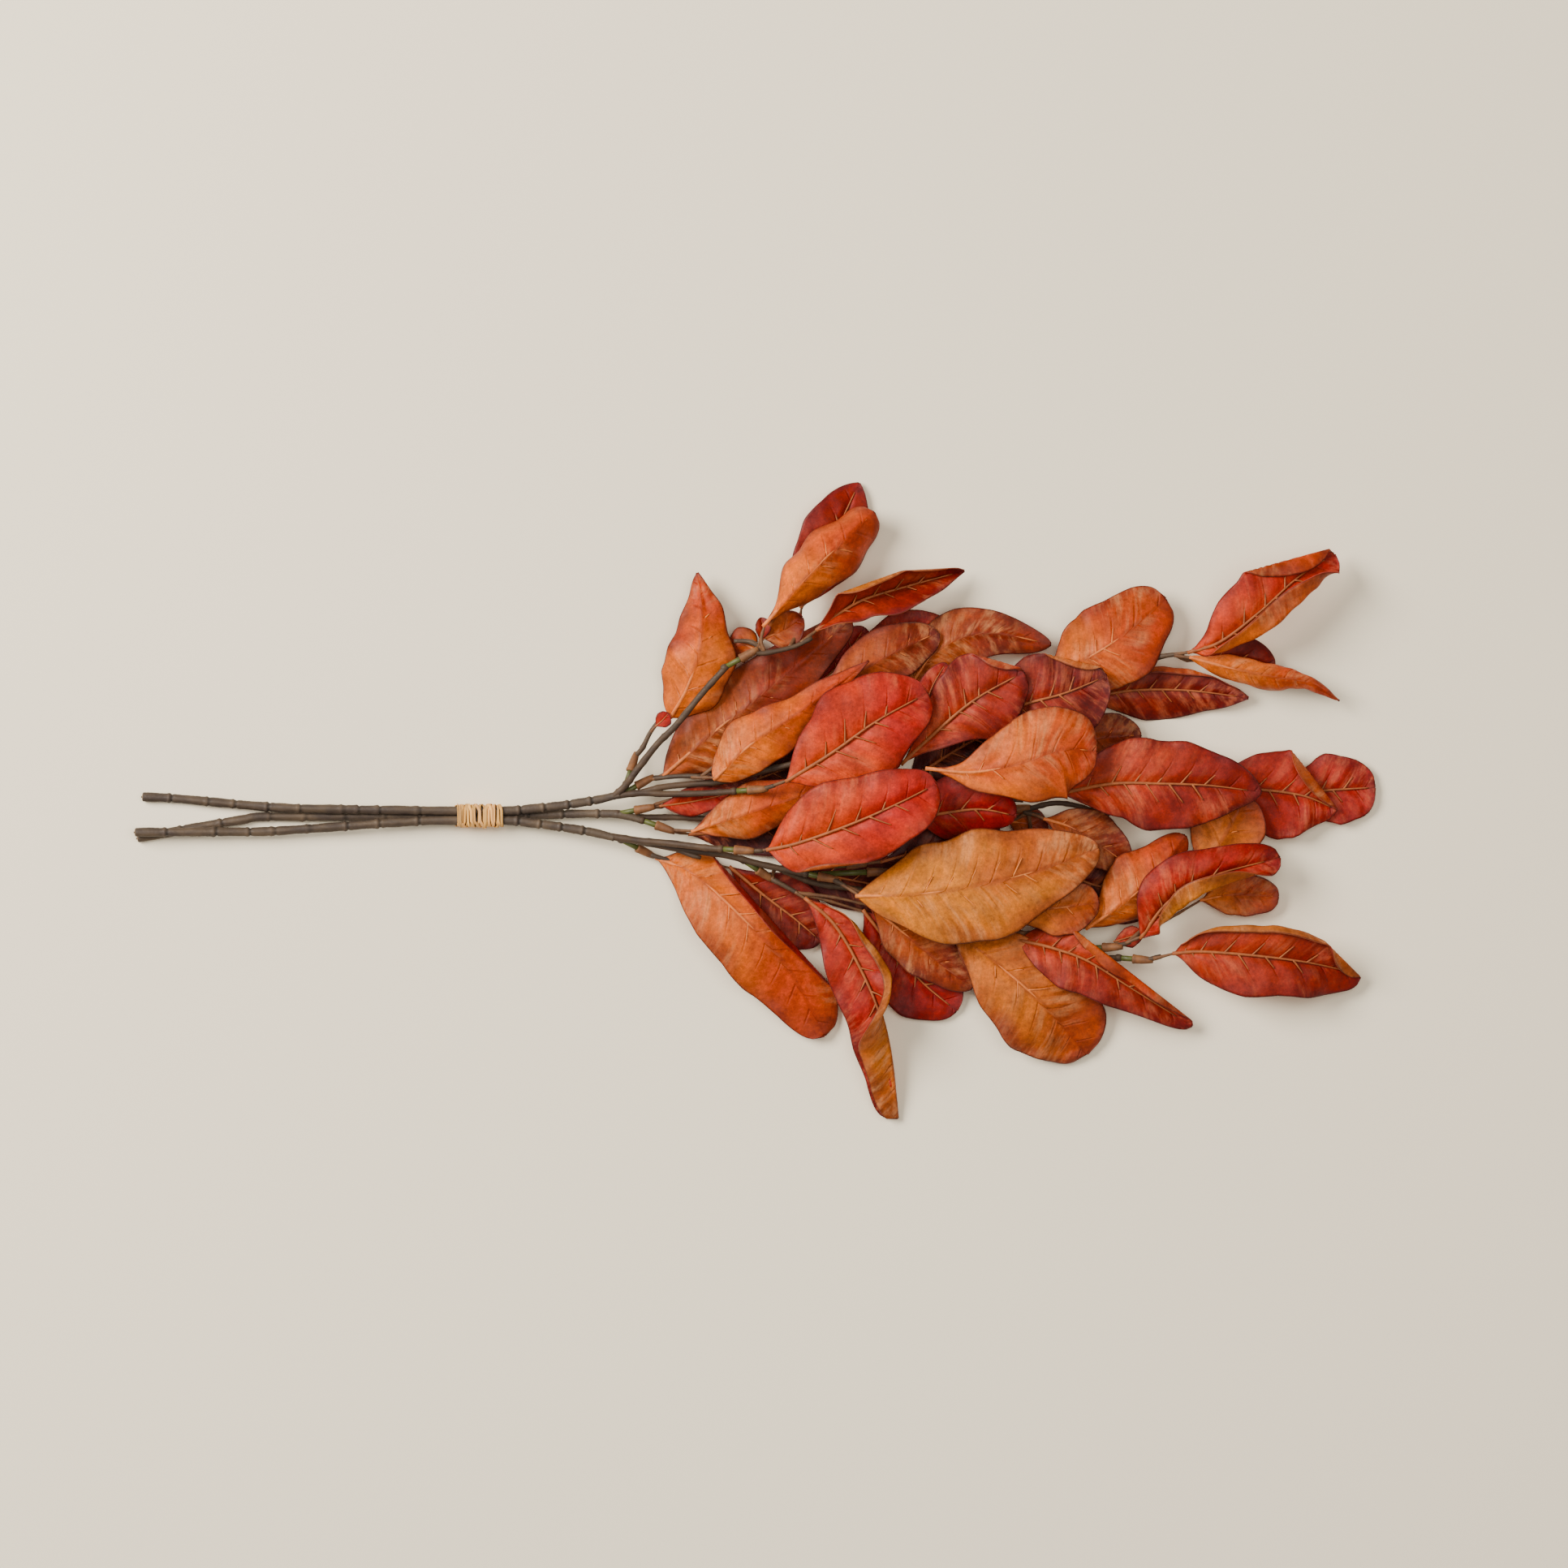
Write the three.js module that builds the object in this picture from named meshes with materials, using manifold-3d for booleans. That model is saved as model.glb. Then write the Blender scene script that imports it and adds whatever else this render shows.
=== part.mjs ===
// Three leafy autumn branches tied side by side with raffia and laid flat on a surface.
// Millimetres, +Z up. The surface is z = 0, the branches run along +X, and the origin is on the
// flat underside of the tie. The cut ends of the stems lie on the -X side, the leaves on the +X side.

import * as THREE from "three";
import { mergeVertices } from "three/addons/utils/BufferGeometryUtils.js";
import Module from "manifold-3d";

const wasm = await Module();
wasm.setup();

// Driving dimensions
const GAP = 0.3; // clearance between pieces that touch
const STEM_RADIUS = 2.4;
const STEM_SIDES = 8;
const TWIG_SIDES = 5;
const STALK_SIDES = 4;
const RING_RISE = 0.35; // growth rings stand this far out of a stem
const RING_HALF_LENGTH = 1.1;
const STEM_STEP = 18; // length of a stem segment
const PEG_RADIUS = 1.5;
const PEG_DEPTH = 5; // how far a peg reaches into its sleeve
const SLEEVE_RADIUS = 2.5;
const SLEEVE_LENGTH = 11;
const SLEEVE_SIDES = 6;
const TWIG_RADIUS = 1.5;
const STALK_RADIUS = 1.15;
const STALK_TIP_RADIUS = 0.55;
const STALK_FOOT = 0.02; // share of the blade's length at which its stalk ends
const BLADE_THICKNESS = 0.8;
const BLADE_END_HALF_WIDTH = 0.6; // blades end in a narrow edge, not in a point
const WIDE_BLADE = 46; // blades at least this wide get the most stations
const SMALL_BLADE = 20; // and blades narrower than this the fewest
const MARGIN_STEPS = 12; // small steps that add up a blade's section from its midrib outwards
const SPECK = 1; // cubic millimetres
const LIP_START = 0.5; // a rolled margin starts at this share of the half width
const TIE_RADIUS = 3.9; // raffia outside round each of the three stems
const TIE_BORE_RADIUS = STEM_RADIUS + GAP + 0.1;
const TIE_WINDS = 6;
const TIE_X = [-13, 11.2];
const TIE_RIDGE = 0.45;
const TIE_SIDES = 12;

const COLOURS = {
  red: 0xb8402a,
  orange: 0xcf7a3c,
  gold: 0xd39a58,
  brown: 0xa8603c,
  burgundy: 0x7d2a2c,
  bark: 0x5e5246,
  raffia: 0xdcbf92,
};

const toRadians = THREE.MathUtils.degToRad;
const UP = new THREE.Vector3(0, 0, 1);

// A smooth curve through points given as [x, y, z].
const curveThrough = (points) =>
  new THREE.CatmullRomCurve3(points.map((p) => new THREE.Vector3(...p)), false, "catmullrom");

// A value read from a short list that is spread evenly from 0 to 1, eased between its entries.
function spread(list, t) {
  const place = Math.min(Math.max(t, 0), 1) * (list.length - 1);
  const first = Math.min(Math.floor(place), list.length - 2);
  const part = place - first;
  const ease = part * part * (3 - 2 * part);
  return list[first] + (list[first + 1] - list[first]) * ease;
}

// A closed geometry as a solid that can be joined and cut.
function solidOf(geometry) {
  const bare = geometry.clone();
  bare.deleteAttribute("normal");
  bare.deleteAttribute("uv");
  const merged = mergeVertices(bare, 1e-4);
  return new wasm.Manifold(
    new wasm.Mesh({
      numProp: 3,
      vertProperties: new Float32Array(merged.getAttribute("position").array),
      triVerts: new Uint32Array(merged.index.array),
    }),
  );
}

// The geometry of a solid.
function geometryOf(solid) {
  const mesh = solid.getMesh();
  const geometry = new THREE.BufferGeometry();
  geometry.setAttribute("position", new THREE.BufferAttribute(mesh.vertProperties, 3));
  geometry.setIndex(new THREE.BufferAttribute(mesh.triVerts, 1));
  return geometry;
}

function indexedGeometry(points, faces) {
  const geometry = new THREE.BufferGeometry();
  geometry.setAttribute("position", new THREE.Float32BufferAttribute(points.flatMap((p) => p.toArray()), 3));
  geometry.setIndex(faces.flat());
  return geometry;
}

// A closed round bar along a curve. Each station is [share of the curve, radius].
function bar(curve, stations, sides) {
  const points = [];
  const faces = [];
  stations.forEach(([t, radius]) => {
    const centre = curve.getPoint(t);
    const along = curve.getTangent(t);
    const side = new THREE.Vector3().crossVectors(UP, along).normalize();
    const over = new THREE.Vector3().crossVectors(along, side);
    for (let i = 0; i < sides; i++) {
      const angle = ((i + 0.5) / sides) * Math.PI * 2;
      const point = centre.clone();
      point.addScaledVector(side, Math.cos(angle) * radius);
      point.addScaledVector(over, Math.sin(angle) * radius);
      points.push(point);
    }
  });
  for (let s = 0; s + 1 < stations.length; s++) {
    for (let i = 0; i < sides; i++) {
      const a = s * sides + i;
      const b = s * sides + ((i + 1) % sides);
      faces.push([a, b, b + sides], [a, b + sides, a + sides]);
    }
  }
  const last = (stations.length - 1) * sides;
  for (let i = 1; i + 1 < sides; i++) {
    faces.push([0, i + 1, i], [last, last + i, last + i + 1]);
  }
  return solidOf(indexedGeometry(points, faces));
}

// Evenly spaced stations of a tapering bar.
function tapered(count, from, to) {
  return Array.from({ length: count + 1 }, (_, i) => [i / count, from + ((to - from) * i) / count]);
}

// A branch that tapers from one radius to another through its points.
function twig(points, from, to, sides = TWIG_SIDES) {
  return bar(curveThrough(points), tapered(Math.max(2, points.length - 1), from, to), sides);
}

// The share of a curve at which it passes a given x.
function shareAt(curve, x) {
  let low = 0;
  let high = 1;
  for (let i = 0; i < 24; i++) {
    const middle = (low + high) / 2;
    if (curve.getPoint(middle).x < x) low = middle;
    else high = middle;
  }
  return (low + high) / 2;
}

// A thick stem along +X with growth rings at the given x values.
function ringedStem(points, rings, endRadius) {
  const curve = curveThrough(points);
  const first = points[0][0];
  const length = points[points.length - 1][0] - first;
  const radiusAt = (x) => STEM_RADIUS + (endRadius - STEM_RADIUS) * Math.max(0, (x - 40) / 40);
  const marks = [];
  const count = Math.round(length / STEM_STEP);
  for (let i = 0; i <= count; i++) {
    const x = first + (length * i) / count;
    if (rings.every((ring) => Math.abs(ring - x) > 3 * RING_HALF_LENGTH)) marks.push([x, 0]);
    else if (i === 0 || i === count) marks.push([x, 0]);
  }
  rings.forEach((ring) => {
    marks.push([ring - RING_HALF_LENGTH, 0], [ring, RING_RISE], [ring + RING_HALF_LENGTH, 0]);
  });
  marks.sort((a, b) => a[0] - b[0]);
  const stations = marks.map(([x, rise]) => [shareAt(curve, x), radiusAt(x) + rise]);
  return bar(curve, stations, STEM_SIDES);
}

// A peg at the end of a branch: a thin bar from the branch to inside the sleeve that it holds.
function peg([start, mouth]) {
  const from = new THREE.Vector3(...start);
  const to = new THREE.Vector3(...mouth);
  const end = to.clone().sub(from).setLength(PEG_DEPTH).add(to);
  return bar(new THREE.LineCurve3(from, end), tapered(1, PEG_RADIUS, PEG_RADIUS), TWIG_SIDES);
}

// The sleeve at the foot of a sprig, with a blind socket for the branch's peg.
function sleeve([start, mouth]) {
  const to = new THREE.Vector3(...mouth);
  const along = to.clone().sub(new THREE.Vector3(...start)).normalize();
  const far = to.clone().addScaledVector(along, SLEEVE_LENGTH);
  const socketEnd = to.clone().addScaledVector(along, PEG_DEPTH + GAP);
  const body = bar(new THREE.LineCurve3(to, far), tapered(1, SLEEVE_RADIUS, TWIG_RADIUS + 0.2), SLEEVE_SIDES);
  const before = to.clone().addScaledVector(along, -1);
  const bore = PEG_RADIUS + GAP;
  return body.subtract(bar(new THREE.LineCurve3(before, socketEnd), tapered(1, bore, bore), TWIG_SIDES));
}

// The middle of a sleeve's solid end, where the sprig's own twigs start.
function sleeveEnd([start, mouth]) {
  const to = new THREE.Vector3(...mouth);
  const along = to.clone().sub(new THREE.Vector3(...start)).normalize();
  return to.addScaledVector(along, SLEEVE_LENGTH - 2).toArray();
}

// Half the blade's width at a share t of its length.
function halfWidth(leaf, t) {
  const power = Math.log(0.5) / Math.log(leaf.widest ?? 0.56);
  const fullness = THREE.MathUtils.lerp(1, leaf.blunt ?? 0.55, t);
  const wave = Math.sin(Math.PI * Math.min(t, 1) ** power);
  return Math.max(BLADE_END_HALF_WIDTH, (leaf.width / 2) * Math.max(wave, 0) ** fullness);
}

// Where a leaf's upper and lower surfaces run: the middle surface at a share t along the midrib
// and a signed share v across, from -1 on the right margin to 1 on the left one.
function bladePoint(leaf, curve, t, v) {
  const centre = curve.getPoint(t);
  const along = curve.getTangent(t);
  const normal = UP.clone().addScaledVector(along, -UP.dot(along)).normalize();
  const left = new THREE.Vector3().crossVectors(normal, along);
  const side = v < 0 ? -1 : 1;
  const index = v < 0 ? 1 : 0;
  const lipWindow = Math.sin(Math.PI * Math.min(Math.max((t - 0.1) / 0.85, 0), 1)) ** 0.5;
  const half = halfWidth(leaf, t);
  const reach = Math.abs(v);
  let out = 0;
  let rise = 0;
  for (let i = 0; i < MARGIN_STEPS; i++) {
    const x = ((i + 0.5) / MARGIN_STEPS) * reach;
    const lip = Math.max(0, (x - LIP_START) / (1 - LIP_START));
    const angle = toRadians(leaf.fold[index] + leaf.curl[index] * x + leaf.lip[index] * lipWindow * lip);
    out += (Math.cos(angle) * half * reach) / MARGIN_STEPS;
    rise += (Math.sin(angle) * half * reach) / MARGIN_STEPS;
  }
  rise += leaf.wave * reach * reach * Math.sin(Math.PI * 3.4 * t + leaf.width + (side > 0 ? 0 : 2));
  const roll = toRadians(spread(leaf.roll, t));
  const across = out * side;
  const point = centre.addScaledVector(left, across * Math.cos(roll) - rise * Math.sin(roll));
  return point.addScaledVector(normal, across * Math.sin(roll) + rise * Math.cos(roll));
}

// A leaf blade: one thin curved sheet with a closed edge, split alike on both faces.
function blade(leaf) {
  const curve = curveThrough(leaf.spine);
  const count = leaf.width >= WIDE_BLADE ? 6 : leaf.width < SMALL_BLADE ? 4 : 5;
  const hasLip = leaf.lip.some((angle) => angle !== 0);
  const shares = hasLip ? [-1, -0.78, -0.5, 0, 0.5, 0.78, 1] : [-1, -0.52, 0, 0.52, 1];
  const across = shares.length;
  const middle = [];
  for (let i = 0; i <= count; i++) {
    const even = i / count;
    const t = even - 0.07 * Math.sin(2 * Math.PI * even);
    shares.forEach((v) => middle.push(bladePoint(leaf, curve, t, v)));
  }
  const sheet = [];
  for (let i = 0; i < count; i++) {
    for (let j = 0; j + 1 < across; j++) {
      const a = i * across + j;
      const d = a + across;
      sheet.push([a, d, d + 1], [a, d + 1, a + 1]);
    }
  }
  const flat = indexedGeometry(middle, sheet);
  flat.computeVertexNormals();
  const normals = flat.getAttribute("normal");
  const offset = (i, distance) =>
    middle[i].clone().addScaledVector(new THREE.Vector3().fromBufferAttribute(normals, i), distance);
  const total = middle.length;
  const points = [
    ...middle.map((_, i) => offset(i, BLADE_THICKNESS / 2)),
    ...middle.map((_, i) => offset(i, -BLADE_THICKNESS / 2)),
  ];
  const faces = [];
  sheet.forEach(([a, b, c]) => faces.push([a, b, c], [a + total, c + total, b + total]));
  const rim = [];
  for (let j = 0; j + 1 < across; j++) rim.push(j);
  for (let i = 0; i < count; i++) rim.push(i * across + across - 1);
  for (let j = across - 1; j > 0; j--) rim.push(count * across + j);
  for (let i = count; i > 0; i--) rim.push(i * across);
  rim.forEach((a, k) => {
    const b = rim[(k + 1) % rim.length];
    faces.push([a, b, b + total], [a, b + total, a + total]);
  });
  const solid = solidOf(indexedGeometry(points, faces));
  return solid.volume() < 0 ? solidOf(indexedGeometry(points, faces.map(([a, b, c]) => [a, c, b]))) : solid;
}

// A leaf with its stalk, which ends just inside the foot of the blade.
function leafSolid(leaf) {
  const curve = curveThrough(leaf.spine);
  const foot = curve.getPoint(STALK_FOOT).toArray();
  const stalk = [...leaf.stalk, foot];
  return blade(leaf).add(twig(stalk, STALK_RADIUS, STALK_TIP_RADIUS, STALK_SIDES));
}

// A leaf's description. The face is the side that is turned up: "upper" is red, "under" is orange.
// Width is the blade's full width when flattened. Roll turns the blade about its midrib, fold lifts
// each half at the midrib, curl bends each half on towards its margin, lip rolls the margin over.
function leaf(face, width, spine, stalk, shape = {}) {
  return { face, width, spine, stalk, roll: [0, 0], fold: [0, 0], curl: [0, 0], lip: [0, 0], wave: 1, ...shape };
}

// Main stems with their branches and pegs
const TOP_STEM = [
  [-180, 9.9, 2.9], [-163, 9.1, 3], [-127, 5.8, 4.4], [-101, 4, 6.6], [-60, 3.2, 8], [-14, 2.55, 8.3],
  [14, 2.55, 8.3], [29, 3.9, 9], [46, 5.8, 10], [63, 8.6, 11.5], [74, 11.2, 13],
];
const TOP_RINGS = [-166, -146, -114, -97, -74, -55, -34, 20, 46];
const MIDDLE_STEM = [
  [-182.7, -12.1, 2.4], [-168, -9.5, 2.4], [-148, -5.6, 2.6], [-127, -2.2, 3], [-114, -0.6, 3.2],
  [-55, -0.5, 3.9], [-14, 0, 3.9], [14, 0, 3.9], [29, 0.3, 4.4], [46, 0.9, 6], [63, 1, 8.5], [74, 0.6, 10.5],
  [85, -2.2, 11.6],
];
const MIDDLE_RINGS = [-113, -95, 62];
const BOTTOM_STEM = [
  [-183.6, -8.9, 8], [-165, -8.8, 8], [-140, -8.6, 7.4], [-114, -8.4, 7], [-75, -5.8, 7.6], [-55, -4.3, 8.2],
  [-31, -2.8, 8.3], [-14, -2.55, 8.3], [14, -2.55, 8.3], [29, -4.2, 8.8], [42, -6, 9.5], [58, -8.6, 11],
  [71, -11.7, 12.5],
];
const BOTTOM_RINGS = [-168, -142, -111, -92, -72, -55, -34, 19, 42];

// Where each sprig plugs in: the point on the branch where its peg starts, and the sleeve's mouth.
const PEGS = {
  upper_left: [[77, 16, 14], [79.5, 23.5, 11.5]],
  top: [[129, 78, 26.5], [138, 83, 28]],
  left_brown: [[74, 11, 12.5], [82.5, 15.6, 11.4]],
  centre_red: [[134, 12.9, 20.5], [142, 13.5, 23]],
  upper_middle: [[168, 28, 22], [175, 30, 23]],
  right_upper: [[342, 80.3, 12], [350, 82, 13.5]],
  small_red: [[72, 0.9, 10.3], [82, 2.8, 13]],
  centre_left: [[85, -2.2, 11.6], [93, -5, 12.5]],
  centre: [[196, 8, 12.5], [203, 9, 14]],
  right: [[272, 1.8, 7.4], [281, 3, 8.5]],
  front: [[127, -17.5, 26], [135, -18, 28.5]],
  lower_left: [[74, -12.4, 12], [83, -17, 8]],
  lower_middle: [[139, -23.2, 17.4], [147, -28.6, 14.4]],
  dark: [[174, -27, 20], [194, -26, 20]],
  front_gold: [[172, -30.6, 20.2], [179, -32, 21]],
  bottom: [[178, -31, 17], [205, -30, 16.5]],
  right_lower: [[338, -75.4, 13], [346, -76, 14.4]],
  right_middle: [[322, -70.4, 12.4], [330, -70, 14.2]],
};

// Branches of each main stem, as [points, radius at the stem, radius at the end].
const TOP_BRANCHES = [
  [[[71, 10.4, 12.6], [77, 16, 14.5], [83, 24, 17], [94, 38, 20], [104, 48, 22], [118, 65, 25], [131, 79.3, 27]], 2, 1.7],
  [[[70, 10.2, 12.3], [85, 12, 14], [100, 11.5, 16], [120, 12, 18.6], [136, 13, 21.2]], 1.9, 1.6],
  [[[84, 12, 13.8], [100, 15.6, 15], [127, 18, 16.6], [140, 21, 18], [155, 25, 20], [170, 28.5, 22.4]], 1.8, 1.6],
  [
    [[138, 20.4, 17.6], [180, 31, 12], [240, 48, 6], [300, 68, 5], [325, 76.4, 8], [344, 80.8, 12.4]],
    1.5, 1.6,
  ],
];
const MIDDLE_BRANCHES = [
  [[[79, -0.8, 11], [105, -1, 8], [135, -2, 7], [165, 2, 8], [198, 8.3, 12.8]], 1.7, 1.6],
  [[[160, 1.2, 7.8], [200, 1.5, 6], [240, -1, 5.5], [262, 0.4, 6.3], [274, 2.1, 7.6]], 1.5, 1.6],
];
const BOTTOM_BRANCHES = [
  [[[68, -10.9, 12], [85, -13.4, 14.6], [100, -14.6, 17.8], [120, -17, 24], [129, -17.6, 26.6]], 2, 1.7],
  [[[80, -12.8, 13.6], [105, -17.6, 13.6], [130, -21, 16.8], [150, -26, 19], [174, -31, 20.4]], 1.9, 1.7],
  [[[103, -17.4, 13.7], [110, -20.3, 14.4], [117, -22.4, 14.8]], 1.4, 1.1],
  [
    [[158, -28, 19.4], [178, -36, 11], [205, -40, 7], [250, -50, 6], [300, -67, 7], [326, -74.6, 10.6], [340, -75.6, 13.3]],
    1.5, 1.6,
  ],
  [[[296, -66, 7], [310, -69.4, 9.6], [324, -70.3, 12.9]], 1.4, 1.6],
  [[[166, -29.6, 19.8], [171, -27.6, 20], [176, -26.9, 20]], 1.5, 1.5],
  [[[164, -29.2, 19.6], [172, -30.4, 17.4], [180, -30.9, 17]], 1.5, 1.5],
];

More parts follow.
